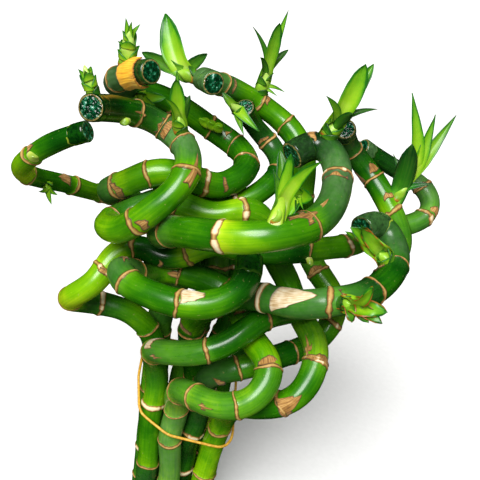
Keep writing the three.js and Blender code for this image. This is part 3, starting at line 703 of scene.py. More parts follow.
def add_scrap(bundle, cane, scrap):
    """One torn, curling patch of dry sheath, wrapped on the cane from the ring that it hangs from."""
    rng = cane.rng
    along, turn = find_spot(cane, scrap.spot)
    across = np.linspace(-1, 1, SCRAP_COLUMNS)
    share = np.linspace(0, 1, SCRAP_ROWS)[:, None]
    reach = scrap.long * scrap_reach(scrap.shape, across, rng)
    base = along + 0.4 * np.sin(across * 4 + rng.uniform(0, 6.3))
    if scrap.shape == "star":
        base = base - scrap.long * scrap_reach(scrap.shape, across + 0.15, rng) * 0.6
        reach = reach * 1.3
    spots = base + reach * share
    half = scrap.wide / 2
    turns = turn + across * half / cane.radius(along) * (1 - 0.12 * share)
    curl = scrap.lift * share**2 * (0.5 + 0.5 * np.sin(across * 6 + rng.uniform(0, 6.3)) ** 2)
    wrinkle = 0.05 * np.sin(across * 11 + 3 * share) * (1 - np.abs(across))
    size = skin_radius(cane, spots, np.full(len(cane.rings), 0.3)) + 0.06 + curl + wrinkle
    edge = 1 - np.maximum(np.abs(across) ** 4, np.abs(2 * share - 1) ** 6)
    upper = cane.line.place(spots, turns, size + SCRAP_THICK * edge)
    lower = cane.line.place(spots, turns, size - SCRAP_UNDER)
    border = np.minimum((1 - np.abs(across)) * half, np.minimum(share, 1 - share) * reach)
    bundle.add_sheet(upper, lower, fray=triples(across * half, share * reach, border))


def cane_scraps(cane, name, pale, material):
    """The scraps of one kind on a cane, as one piece."""
    bundle = Bundle()
    for scrap in SCRAPS[cane.name]:
        if scrap.pale == pale:
            add_scrap(bundle, cane, scrap)
    if bundle.points:
        finish_piece(bundle.made(name + cane.name), material, "dry_sheath")


# Shoots

# A leaf: its tip in millimetres, its width, how dark it is from 0 to 1, its outline, where on the
# shoot's stem it starts, as a share of the stem, and whether it holds the stem from the front
Leaf = namedtuple("Leaf", "tip width dark form foot front", defaults=("blade", None, False))
# A shoot: its cane, how far along it grows, its stem's length and its thickness at the foot and at the
# top, its leaves, smaller leaves beside them, the point that the stem grows to (the middle of the
# leaves' tips where there is none), how many scales hug the stem, how many of them are dark, and how
# far its leaves go straight, as a share of their reach
Shoot = namedtuple(
    "Shoot", "cane at stem leaves more toward scales dark_scales bend", defaults=((), None, 3, 2, 0.55),
)

SHOOTS = {
    "left_tip": Shoot("left_coil", 512, (18.5, 3.0, 2.7), [
        Leaf((-81, -34, 288), 3.6, 0.3), Leaf((-77.5, -36, 289), 3.6, 0.1),
        Leaf((-75, -35, 289.5), 3.4, 0.4),
    ], toward=(-79, -33, 291), scales=7, dark_scales=1),
    "top_left": Shoot("top_left", 478, (23, 4.5, 3.2), [
        Leaf((-71, 4, 305.5), 3.6, 0.1), Leaf((-67.5, 2, 305), 3.4, 0.1), Leaf((-64, 6, 303.5), 3.2, 0.2),
        Leaf((-73, 2, 294), 3.0, 0.5, "blade", 0.4),
    ], toward=(-68, 4, 297), scales=8, dark_scales=1),
    "left_upright": Shoot("left_coil", 453, (14, 3.6, 2.8), [
        Leaf((-40, -14, 288), 7.4, 0.15, "oval"), Leaf((-43, -22, 280), 3.8, 0.1),
        Leaf((-33, -6, 279), 5.0, 0.8, "oval", 0.02, True),
    ], [Leaf((-41, -8, 290), 4.2, 0.4), Leaf((-43, -14, 276), 2.4, 0.3)]),
    "top_middle": Shoot("top_back", 413, (13, 4.0, 3.4), [
        Leaf((-34, 45, 286), 6.6, 0.8, "oval", 0.6), Leaf((-66, 34, 282), 7.4, 0.75, "oval", 0.65),
        Leaf((-58, 40, 303), 12.4, 0.1, "oval", 0.6),
    ], toward=(-43, 22, 280), scales=2, bend=0.2),
    "top_right": Shoot("top_back", 360, (20, 3.8, 2.6), [
        Leaf((-14, 62, 302), 3.4, 0.9, "blade", 0.6), Leaf((0, 60, 308), 7.2, 0.45, "oval"),
        Leaf((3, 67, 314), 4.4, 0.1), Leaf((-6, 53, 289), 4.3, 0.85, "oval", 0.45),
        Leaf((8, 71, 292), 4.2, 0.8, "oval", 0.5), Leaf((12, 64, 270), 2.6, 0.3, "blade", 0.3),
    ], [Leaf((8, 60, 268), 2.2, 0.2, "blade", 0.3)], scales=4, dark_scales=4),
    "front_loop": Shoot("front_loop", 411, (16, 4.8, 3.8), [
        Leaf((46, 16, 308), 10.4, 0.05, "oval"), Leaf((51, 27, 306), 6.8, 0.2, "oval"),
        Leaf((31, 8, 290), 6.0, 0.5, "blade", 0.5), Leaf((59, 23, 285), 3.8, 0.9, "blade", 0.6),
        Leaf((45, 2, 286), 5.4, 0.9, "oval", 0.02, True),
    ], scales=5, dark_scales=3),
    "far_right": Shoot("right_arm", 348, (20, 3.2, 2.0), [
        Leaf((102, 36, 248), 4.2, 1.0, "blade", 0.5), Leaf((78.5, 50, 254), 4.4, 0.85, "blade", 0.5),
        Leaf((76.5, 44, 292), 8.8, 0.1, "blade", 0.8), Leaf((92.5, 46, 283), 7.4, 0.15, "blade", 0.85),
        Leaf((104.7, 52, 283.6), 7.4, 0.35, "blade", 0.9),
        Leaf((83, 30, 269), 11.8, 0.95, "oval", 0.02, True),
    ], toward=(92, 39, 254), scales=0, bend=0.3),
    "front_left": Shoot("front_loop", 320, (14, 3.7, 2.6), [
        Leaf((14, -46, 278), 5.4, 0.6, "oval", 0.35), Leaf((32, -64, 284), 6.4, 0.1, "blade", 0.5),
        Leaf((19, -56, 281), 5.8, 0.05, "oval", 0.02, True),
    ], [Leaf((13, -52, 271), 4.2, 0.75, "blade", 0.5)], toward=(21.7, -55.3, 281), scales=0),
    "front_middle": Shoot("top_back", 296, (12, 3.2, 3.0), [
        Leaf((40, 20, 230), 9.0, 0.05, "oval"), Leaf((29, 24, 233), 6.5, 0.3),
        Leaf((24, 18, 220), 6.4, 0.05),
    ], [
        Leaf((32, 18, 221), 3.6, 0.9), Leaf((36, 18, 223), 2.6, 0.2),
        Leaf((29, 16, 217), 6.0, 0.0, "oval"),
    ]),
    "right_curled": Shoot("right_loop", 257, (12, 3.6, 3.0), [
        Leaf((79.6, -60, 219), 9.4, 0.1, "curled", 0.3), Leaf((69, -62, 231), 6.2, 0.0, "curled", 0.3),
        Leaf((65.5, -60, 209), 6.4, 0.6, "curled", 0.25),
    ], [
        Leaf((79, -60, 212.5), 7.0, 0.35, "curled", 0.5), Leaf((73, -60, 211), 6.0, 0.2, "curled", 0.4),
    ], scales=4),
    "right_inner": Shoot("right_loop", 302, (12, 4.8, 4.0), [
        Leaf((58, -18, 236.5), 10.0, 0.15, "curled", 0.2), Leaf((62, -20, 240), 7.0, 0.4, "curled", 0.2),
        Leaf((66, -12, 228), 6.0, 0.8, "oval", 0.2),
    ], [Leaf((56, -17, 233), 4.0, 0.1, "curled", 0.4)], scales=5),
    "far_left": Shoot("far_left", 301, (9, 2.4, 1.8), [
        Leaf((-91, -24, 215.5), 3.2, 0.3), Leaf((-86.5, -24, 219), 3.0, 0.2),
        Leaf((-95, -29, 221), 2.8, 0.3),
    ], [Leaf((-88, -28, 215), 2.8, 0.2)]),
    "inner_back": Shoot("inner_back", 396, (19, 3.2, 2.8), [
        Leaf((3.4, 29, 256), 6.6, 0.1, "blade", 0.5), Leaf((-4.5, 28, 252.6), 4.8, 0.3, "blade", 0.45),
        Leaf((-22, 40, 270), 4.6, 0.5, "blade", 0.7),
    ], toward=(-17, 34, 267)),
    "lying": Shoot("top_left", 442, (11, 3.0, 2.6), [
        Leaf((-48, 20, 266), 6.2, 0, "oval"), Leaf((-52, 16, 262), 4.6, 0), Leaf((-78, 14, 257), 4.6, 0),
    ]),
}
LEAF_FEET = (0.3, 0.7)  # where the first and the last leaf start that have no place of their own

# Half the width along a leaf, as a share of its greatest half width
OUTLINES = {
    "blade": [(0, 0.5), (0.2, 0.8), (0.4, 1), (0.6, 0.93), (0.8, 0.58), (0.92, 0.26), (1, 0.03)],
    "oval": [
        (0, 0.4), (0.15, 0.55), (0.35, 0.84), (0.55, 1.03), (0.7, 1), (0.85, 0.76), (0.94, 0.42), (1, 0.04),
    ],
    "curled": [(0, 0.5), (0.25, 0.9), (0.5, 1.05), (0.75, 0.85), (0.9, 0.5), (1, 0.05)],
}


def add_leaf(bundle, foot, out, leaf, hug, straight, rng):
    """One leaf: it holds the stem at its foot and opens into a blade with a sharp tip."""
    tip = np.array(leaf.tip) + SHIFT
    reach = np.linalg.norm(tip - foot)
    bend = foot + out * reach * straight
    share = np.linspace(0, 1, BLADE_ROWS)[:, None] ** 0.9
    middle = (1 - share) ** 2 * foot + 2 * share * (1 - share) * bend + share**2 * tip
    way = unit(2 * (1 - share) * (bend - foot) + 2 * share * (tip - bend))
    inward = foot - tip + out * ((tip - foot) @ out)
    face = LEAF_FRONT * (-1 if leaf.front else 1) + inward * LEAF_INWARD / reach
    side = unit(np.cross(face, way))
    up = np.cross(way, side)
    half = leaf.width / 2 * np.interp(share, *zip(*OUTLINES[leaf.form]))
    holding = 1 - smooth(share, 0, LEAF_HOLD)
    half = half + holding * hug * 0.9
    curve = 1 / (holding / (hug * 1.12) + (1 - holding) / (leaf.width * 0.85))
    middle = middle - up * hug * holding * 1.05
    across = np.linspace(-1, 1, BLADE_COLUMNS)
    crumple = CRUMPLE if leaf.form == "curled" else FLAT
    wave = np.sin(share * rng.uniform(9, 14) + rng.uniform(0, 6)) * np.abs(across) ** 2
    wave = crumple * leaf.width * wave
    bent = across * half / curve
    rise = curve * (1 - np.cos(bent)) + wave * (1 - holding)
    rise += 0.1 * leaf.width * np.abs(across) * smooth(share, 0.1, 0.5)
    sideways = (curve * np.sin(bent))[..., None]
    center = middle[:, None] + side[:, None] * sideways + up[:, None] * rise[..., None]
    normal = up[:, None] * np.cos(bent)[..., None] - side[:, None] * np.sin(bent)[..., None]
    thick = BLADE_THICK / 2 * (1 - 0.55 * np.abs(across) ** 3) * (1 - 0.5 * share**3)
    bundle.add_sheet(
        center + normal * thick[..., None], center - normal * thick[..., None],
        blade=triples(across * half, share, leaf.dark),
        rim=triples(np.abs(across) + 0 * share, float(leaf.form == "curled"), 0),
    )


def across_stem(out):
    """Two directions across a shoot's stem. The first one faces the camera."""
    facing = CAMERA_AT / np.linalg.norm(CAMERA_AT)
    facing = unit(facing - out * (facing @ out))
    return facing, np.cross(out, facing)


def stem_size(along, stem):
    """How thick a shoot's stem is, by the distance along it."""
    length, wide, narrow = stem
    shares = (0, 0.3, 0.6, 0.8, 0.93, STEM_END)
    sizes = (wide, 0.95 * wide, (wide + narrow) / 2, 0.8 * narrow, 0.5 * narrow, 0.15)
    return np.interp(along / length, shares, sizes)


def add_stem(bundle, root, out, start, stem, rng):
    """The short fleshy stem of a shoot. start: where it leaves the skin of its cane."""
    end = STEM_END * stem[0]
    side, other = across_stem(out)
    turns = around(STEM_AROUND)[:, None]
    along = np.linspace(start - STEM_ROOT, end, STEM_ROWS)
    lumps = ripple(rng, turns[:, 0], along[:, None], [(2, 9), (3, -6), (1, 14)], 0.4)
    size = stem_size(along, stem)[:, None] + lumps
    ring = side * np.cos(turns) + other * np.sin(turns)
    rows = root + out * along[:, None, None] + ring * size[..., None]
    # For the colours: how far past the skin, and -1 to tell it from a blade
    blade = triples(np.repeat(along - start, STEM_AROUND), -1, 0)
    first = root + out * along[0]
    bundle.add_tube(rows, first, root + out * (end + 0.2), blade=blade, rim=np.zeros(blade.shape))


def add_scale(bundle, root, out, along, turn, size, long, dark, rng):
    """A short pointed scale that hugs the stem and lifts a little at its tip."""
    side, other = across_stem(out)
    share = np.linspace(0, 1, SCALE_ROWS)[:, None]
    across = np.linspace(-1, 1, SCALE_COLUMNS)
    half = SCALE_HALF * (1 - share**1.7) + 0.04
    turns = (turn + across * half + 0.15 * rng.uniform(-1, 1) * share)[..., None]
    radius = size + 0.3 + rng.uniform(0.5, 1.1) * share**2 - 0.25 * np.abs(across) ** 3
    outward = side * np.cos(turns) + other * np.sin(turns)
    axis = root + out * (along + long * share - 0.6 * np.abs(across) * (1 - share))[..., None]
    bundle.add_sheet(
        axis + outward * (radius + 0.25)[..., None], axis + outward * (radius - 0.2)[..., None],
        blade=triples(across * half * size, 0.4 + 0.6 * share, dark),
        rim=triples(np.abs(across) + 0 * share, 0, 0),
    )


def shoot_piece(name, canes, material):
    """One shoot: its stem, the scales that hug it and its leaves."""
    shoot = SHOOTS[name]
    cane = canes[shoot.cane]
    rng = cane.rng
    root = cane.line.at(shoot.at)
    tips = [shoot.toward] if shoot.toward else [leaf.tip for leaf in shoot.leaves]
    out = unit(np.mean(tips, axis=0) + SHIFT - root)
    start = float(cane.radius(shoot.at))
    length = shoot.stem[0]
    bundle = Bundle()
    add_stem(bundle, root, out, start, shoot.stem, rng)
    for k in range(shoot.scales):
        along = start - 0.6 + (length - start - 2) * k / shoot.scales
        turn = 0.6 + k * SCALE_TURN + rng.uniform(-0.3, 0.3)
        dark = rng.uniform(0.7, 1) if k < shoot.dark_scales else 0.15
        long = rng.uniform(3.5, 4.8)
        add_scale(bundle, root, out, along, turn, stem_size(along, shoot.stem), long, dark, rng)
    leaves = [*shoot.leaves, *shoot.more]
    for k, leaf in enumerate(leaves):
        share = leaf.foot or np.interp(k, [0, len(leaves) - 1], LEAF_FEET)
        hug = stem_size(length * share, shoot.stem) + 0.2 + 0.1 * k
        add_leaf(bundle, root + out * length * share, out, leaf, hug, shoot.bend, rng)
    return finish_piece(bundle.made("leaves_" + name), material, "leaf", "shoot_" + name)


# Buds

# A bud: its cane, how far along it sits, the point that it grows to, its length, its half width, how
# many lobes it has, and how lime green it is from 0 to 1
Bud = namedtuple("Bud", "cane at toward long half lobes lime")

BUDS = {
    "far_left": Bud("far_left", 350, (-88, -60, 253), 4.5, 3.2, 1, 0),
    "left_coil": Bud("left_coil", 489, (-58, -30, 262), 4.6, 3, 1, 0.5),
    "top_left": Bud("top_left", 393, (-24, 32, 254), 9.6, 4.4, 3, 1),
    "far_right": Bud("far_right", 341, (47, -8, 203), 5, 2.2, 1, 0.3),
}


def bud_piece(name, canes, material):
    """A bud that hasn't opened: one or more pointed lobes of tight scales."""
    bud = BUDS[name]
    cane = canes[bud.cane]
    root = cane.line.at(bud.at)
    out = unit(np.array(bud.toward) + SHIFT - root)
    start = float(cane.radius(bud.at)) - BUD_ROOT
    side = unit(np.cross(out, [0.1, 0.2, 1]))
    other = np.cross(out, side)
    turns = around(BUD_AROUND)
    ring = side * np.cos(turns)[:, None] + other * (0.8 * np.sin(turns))[:, None]
    share = np.linspace(0, 1, BUD_ROWS)[:, None]
    half = bud.half * (0.95 if bud.lobes == 1 else 0.72) * np.sin(np.pi * (0.16 + 0.82 * share)) ** 0.6
    scale_lip = 0.12 * bud.half * np.sin(2 * turns + 8 * share) * np.sqrt(share)
    bundle = Bundle()
    for k in range(bud.lobes):
        lean = (k - (bud.lobes - 1) / 2) * LOBE_LEAN * bud.half
        middle = root + out * (start + (bud.long + BUD_ROOT) * share) + side * lean * (0.7 + share)
        rows = middle[:, None] + ring * (half + scale_lip)[..., None]
        blade = triples(np.cos(turns) * bud.half, share, bud.lime)
        bundle.add_tube(rows, middle[0], middle[-1] + out * 0.5, blade=blade)
    return finish_piece(bundle.made("closed_bud_" + name), material, "bud", "bud_" + name)


# The dry sheath round the end of the cane at the top left

SHEATH_FROM = 480
SHEATH_LONG = 13.4
SHEATH_TOWARD = (-58, -24, 287)
SHEATH_WRAP = math.radians(98)  # to each side
SHEATH_HALF = 13  # half the width that it has laid flat
SHEATH_ROOM = 1.025  # from the cane's skin to the middle of its thickness
SHEATH_THICK = 0.75
SHEATH_ROWS = 26
SHEATH_COLUMNS = 72


def dry_sheath(cane, material):
    """A torn sleeve of orange fibres that stands a little off the cane."""
    middle = cane.line.nearest(cane.line.at(SHEATH_FROM + SHEATH_LONG / 2))
    turn = cane.line.turn(middle, np.array(SHEATH_TOWARD) + SHIFT - cane.line.at(middle))
    across = np.linspace(-1, 1, SHEATH_COLUMNS)
    share = np.linspace(0, 1, SHEATH_ROWS)[:, None]
    nicks = np.abs(np.sin(across * 17 + 2 * np.sin(across * 9))) * 0.04
    reach = SHEATH_LONG * (0.92 + nicks + 0.04 * np.sin(across * 3 + 1))
    lower_edge = 0.3 * np.sin(across * 7) + 0.15 * np.sin(across * 19)
    spots = SHEATH_FROM + lower_edge + (reach - lower_edge) * share
    turns = turn + SHEATH_WRAP * across * (1 - 0.08 * np.sin(3 * share))
    folds = 0.08 * np.sin(across * 26 + 2 * share) + 0.05 * np.sin(across * 55 - 3 * share)
    size = cane.radius(spots) + SHEATH_ROOM + folds + 0.3 * np.sin(share * 7 + 3 * across)
    upper = cane.line.place(spots, turns, size + SHEATH_THICK / 2)
    lower = cane.line.place(spots, turns, size - SHEATH_THICK / 2)
    bundle = Bundle()
    border = np.minimum(share, 1 - share) * reach
    bundle.add_sheet(upper, lower, fray=triples(across * SHEATH_HALF, share * reach, border))
    return finish_piece(bundle.made("torn_sheath"), material, "dry_sheath", "dry_sheath")


# The rubber band

BAND_RADIUS = 0.78
BAND_AROUND = 12
BAND_SIDES = 6
BAND_STEPS = 360
BAND_SOFTENED = 6  # how often the corners of its middle line are rounded


def rubber_band(material):
    """One round rubber band, stretched about the bundle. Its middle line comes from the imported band."""
    mesh = frame["nodes"]["rubber_band"].data
    points = np.unique(np.array([v.co for v in mesh.vertices]).round(6), axis=0) / MM
    middle = (points.min(0) + points.max(0)) / 2
    points = points[np.argsort(np.arctan2(points[:, 1] - middle[1], points[:, 0] - middle[0]))]
    centers = points.reshape(-1, BAND_SIDES, 3).mean(axis=1)
    spots = np.linspace(0, len(centers), BAND_STEPS, endpoint=False)
    closed = np.concatenate([centers, centers[:1]])
    ring = np.stack([np.interp(spots, range(len(closed)), closed[:, k]) for k in range(3)], axis=1)
    for _ in range(BAND_SOFTENED):
        ring = (np.roll(ring, 1, 0) + 2 * ring + np.roll(ring, -1, 0)) / 4
    way = unit(np.roll(ring, -1, 0) - np.roll(ring, 1, 0))
    outward = unit(np.cross(way, [0, 0, 1]))
    rise = np.cross(outward, way)
    turns = around(BAND_AROUND)[:, None]
    circle = outward[:, None] * np.cos(turns) + rise[:, None] * np.sin(turns)
    tube = ring[:, None] + circle * BAND_RADIUS
    grid = np.arange(BAND_STEPS * BAND_AROUND).reshape(BAND_STEPS, BAND_AROUND)
    ahead = np.roll(grid, -1, 0)
    corners = [grid, np.roll(grid, -1, 1), np.roll(ahead, -1, 1), ahead]
    faces = np.stack(corners, axis=-1).reshape(-1, 4).tolist()
    band = add_mesh("stretched_band", tube.reshape(-1, 3), faces)
    return finish_piece(band, material, "rubber_band", "rubber_band")


# Materials

def make_material(name, surface, *colors):
    """A material by its name and by the function that adds its nodes and returns its surface."""
    material = bpy.data.materials.new(name)
    material.use_nodes = True
    tree = material.node_tree
    tree.nodes.remove(tree.nodes["Principled BSDF"])
    shown = surface(partial(add_node, tree), *colors)
    tree.links.new(shown, tree.nodes["Material Output"].inputs["Surface"])
    return material


def ready(given):
    """What an input takes: a hex colour made linear, anything else as it is."""
    return linear(given) if isinstance(given, str) else given


def add_node(tree, kind, inputs=None, stops=(), out=0, **settings):
    """Adds a node with its settings, with a value or a link for its inputs and with a ramp's stops, and
    returns one of its outputs. A colour mix has its share in input 0, its two colours in 6 and 7, and
    the mixed colour in output 2. A map range runs from inputs 1 and 2 to 3 and 4."""
    node = tree.nodes.new("ShaderNode" + kind)
    for key, setting in settings.items():
        setattr(node, key, setting)
    for key, given in (inputs or {}).items():
        if isinstance(given, bpy.types.NodeSocket):
            tree.links.new(given, node.inputs[key])
        else:
            node.inputs[key].default_value = ready(given)
    stops = list(stops)
    elements = node.color_ramp.elements if stops else []
    while len(elements) < len(stops):
        elements.new(0.5)
    for element, (place, color) in zip(elements, stops):
        element.position = place
        element.color = ready(color)
    return node.outputs[out]


def gray(value):
    return (value, value, value, 1)


def cane_greens(add, place):
    """The greens of the skin, from the deep green of an old shaded stretch to fresh yellow-green."""
    return add("ValToRGB", {0: place}, stops=[
        (0.02, "#022a04"), (0.2, "#0e4c04"), (0.38, "#286c02"),
        (0.53, "#498c02"), (0.68, "#7ab204"), (0.86, "#bcd81a"),
    ])


def waxy_skin(add):
    """Living epidermis of lucky bamboo, grown with a thin natural wax: a smooth glossy green skin with
    fine lengthwise streaks, yellower beyond each node, and a raised tan scar where each leaf was. How deep
    or fresh its green is along the cane is partly painted shade and light, and its gray film is partly
    painted reflection."""
    grain = add("Attribute", attribute_name="grain", out="Vector")
    node = add("Attribute", attribute_name="node", out="Vector")
    distance, width, fresh = add("SeparateXYZ", {0: node}).node.outputs
    # The tone attribute: the skin's tone, partly painted shade and light, and its bloom, partly natural wax
    # and partly painted reflection
    look = add("Attribute", attribute_name="tone", out="Vector")
    tone, bloom_and_sheen, _ = add("SeparateXYZ", {0: look}).node.outputs
    streak_place = add("VectorMath", {0: grain, 1: (1 / 1.1, 1 / 1.1, 1 / 22)}, operation="MULTIPLY")
    streaks = add("TexNoise", {"Scale": 1, "Detail": 4, "Roughness": 0.6, "Vector": streak_place})
    patches = add("TexNoise", {"Scale": 1 / 14, "Detail": 3, "Vector": grain})
    mottle = add("TexNoise", {"Scale": 1 / 2.6, "Detail": 5, "Vector": grain})
    # Where the skin stands between deep and fresh green: its tone, which is partly painted shade and light,
    # patches, streaks and the nearest node
    toned = add("Math", {0: tone, 1: 0.42, 2: 0.05}, operation="MULTIPLY_ADD")
    patched = add("Math", {0: patches, 1: 0.45, 2: toned}, operation="MULTIPLY_ADD")
    streaked = add("Math", {0: streaks, 1: 0.28, 2: patched}, operation="MULTIPLY_ADD")
    freshened = add("Math", {0: fresh, 1: 0.14, 2: streaked}, operation="MULTIPLY_ADD")
    green = cane_greens(add, freshened)
    # The gray film, patchy: partly natural wax and partly painted reflection at bends and edges
    bloom_and_sheen_cover = add("Math", {0: bloom_and_sheen, 1: mottle}, operation="MULTIPLY")
    filmed = add("Mix", {0: bloom_and_sheen_cover, 6: green, 7: "#7d9a6c"}, data_type="RGBA", out=2)
    # The ring's edge is ragged: its distance is read with an error of up to 0.9 mm
    uneven = add("Math", {0: mottle, 1: 1.8, 2: -0.9}, operation="MULTIPLY_ADD")
    read = add("Math", {0: distance, 1: uneven}, operation="ADD")
    half = add("MapRange", {0: width, 3: RING_HALF[0] + 0.1, 4: RING_HALF[1] + 0.2})
    share = add("Math", {0: read, 1: half}, operation="DIVIDE")
    tan_ring = add("ValToRGB", {0: share}, stops=[
        (0.1, "#c09a5a"), (0.45, "#a07436"), (0.8, "#6a4418"), (1, "#3f2a0c"),
    ])
    cream_ring = add("ValToRGB", {0: share}, stops=[
        (0.3, "#f0dfb8"), (0.62, "#dcb67c"), (0.85, "#8a4f1c"),
    ])
    cream_share = add("MapRange", {0: width, 1: 0.92, 2: 1})
    ring_color = add("Mix", {0: cream_share, 6: tan_ring, 7: cream_ring}, data_type="RGBA", out=2)
    ring_share = add("MapRange", {0: share, 1: 1.15, 2: 0.9, 4: 0.95})
    ringed = add("Mix", {0: ring_share, 6: filmed, 7: ring_color}, data_type="RGBA", out=2)
    # Corky specks and small scratches
    specks = add("TexNoise", {"Scale": 1 / 1.1, "Detail": 2, "Vector": grain})
    speck_share = add("MapRange", {0: specks, 1: 0.71, 2: 0.77, 4: 0.5})
    specked = add("Mix", {0: speck_share, 6: ringed, 7: "#b9a468"}, data_type="RGBA", out=2)
    cut = add("MapRange", {0: fresh, 1: -0.4, 2: -0.9})
    cut_face = add("Mix", {0: cut, 6: specked, 7: "#c9c48a"}, data_type="RGBA", out=2)
    dry = add("MapRange", {0: ring_share, 3: 0.2, 4: 0.6})
    film_dry = add("Math", {0: bloom_and_sheen_cover, 1: 0.5, 2: dry}, operation="MULTIPLY_ADD")
    rough = add("Math", {0: mottle, 1: 0.12, 2: film_dry}, operation="MULTIPLY_ADD")
    relief = add("Bump", {"Strength": 0.3, "Distance": 0.1 * MM, "Height": streaks})
    torn = add("Math", {0: mottle, 1: ring_share}, operation="MULTIPLY")
    torn_relief = add("Bump", {"Strength": 0.8, "Distance": 0.4 * MM, "Height": torn, "Normal": relief})
    return add("BsdfPrincipled", {
        "IOR": 1.42, "Coat Weight": 0.15, "Coat Roughness": 0.1, "Coat IOR": 1.4,
        "Subsurface Weight": 0.05, "Subsurface Radius": (0.6, 1.0, 0.25), "Subsurface Scale": 0.0015,
        "Base Color": cut_face, "Roughness": rough, "Normal": torn_relief,
    })


def dipped_wax(add):
    """Dark green paraffin wax, dipped hot and set on the cut: glossy and lumpy on the flat end, with small
    pale teal and near-white points painted on its highest lumps as glints, thin on the side, where the skin
    shows through, and a tan rim of bare fibres between."""
    coat = add("Attribute", attribute_name="coat", out="Vector")
    outward, from_edge, tone = add("SeparateXYZ", {0: coat}).node.outputs
    film = add("Attribute", attribute_name="film", out="Vector")
    bloom_and_sheen, rim_share, line_share = add("SeparateXYZ", {0: film}).node.outputs
    place = add("NewGeometry")
    lumps = add("TexNoise", {"Scale": 1 / (2.0 * MM), "Detail": 4, "Vector": place})
    beads = add("TexVoronoi", {"Scale": 1 / (1.3 * MM), "Vector": place})
    # The flat end's colour: dark green wax, with pale teal and near-white spots on the highest lumps that
    # are painted glints
    end_color_and_glints = add("ValToRGB", {0: lumps}, stops=[
        (0.34, "#021d0c"), (0.5, "#053a1c"), (0.6, "#14603c"),
        (0.67, "#4a9a7c"), (0.74, "#b4dccb"),
    ])
    toned = add("Math", {0: tone, 1: 0.42, 2: 0.12}, operation="MULTIPLY_ADD")
    side_place = add("Math", {0: lumps, 1: 0.55, 2: toned}, operation="MULTIPLY_ADD")
    side_green = cane_greens(add, side_place)
    # The gray film on the side: partly natural wax and partly painted reflection
    bloom_and_sheen_cover = add("Math", {0: bloom_and_sheen, 1: lumps}, operation="MULTIPLY")
    side_color = add("Mix", {0: bloom_and_sheen_cover, 6: side_green, 7: "#7d9a6c"}, data_type="RGBA", out=2)
    uneven = add("Math", {0: lumps, 1: 0.3, 2: -0.15}, operation="MULTIPLY_ADD")
    read = add("Math", {0: outward, 1: uneven}, operation="ADD")
    on_side = add("MapRange", {0: read, 1: 0.93, 2: 1.02})
    body = add("Mix", {0: on_side, 6: end_color_and_glints, 7: side_color}, data_type="RGBA", out=2)
    rim = add("ValToRGB", {0: read}, stops=[
        (0.0, gray(0)), (0.84, gray(0)), (0.92, gray(0.75)), (1.0, gray(0.35)), (1.0, gray(0)),
    ])
    rim_cover = add("Math", {0: rim, 1: rim_share}, operation="MULTIPLY")
    rimmed = add("Mix", {0: rim_cover, 6: body, 7: "#a58a4c"}, data_type="RGBA", out=2)
    line_color = add("Mix", {0: line_share, 6: "#31580f", 7: "#a2b834"}, data_type="RGBA", out=2)
    edge = add("MapRange", {0: from_edge, 1: 1.7, 2: 1.1, 4: 0.85})
    color = add("Mix", {0: edge, 6: rimmed, 7: line_color}, data_type="RGBA", out=2)
    rough = add("MapRange", {0: on_side, 3: 0.13, 4: 0.26})
    bumps = add("Math", {0: lumps, 1: beads}, operation="ADD")
    strength = add("MapRange", {0: on_side, 3: 0.9, 4: 0.12})
    relief = add("Bump", {"Strength": strength, "Distance": 0.6 * MM, "Height": bumps})
    return add("BsdfPrincipled", {
        "IOR": 1.44, "Coat Weight": 0.3, "Coat Roughness": 0.05, "Subsurface Weight": 0.06,
        "Subsurface Radius": (0.3, 0.8, 0.4), "Subsurface Scale": 0.001, "Base Color": color,
        "Roughness": rough, "Normal": relief,
    })


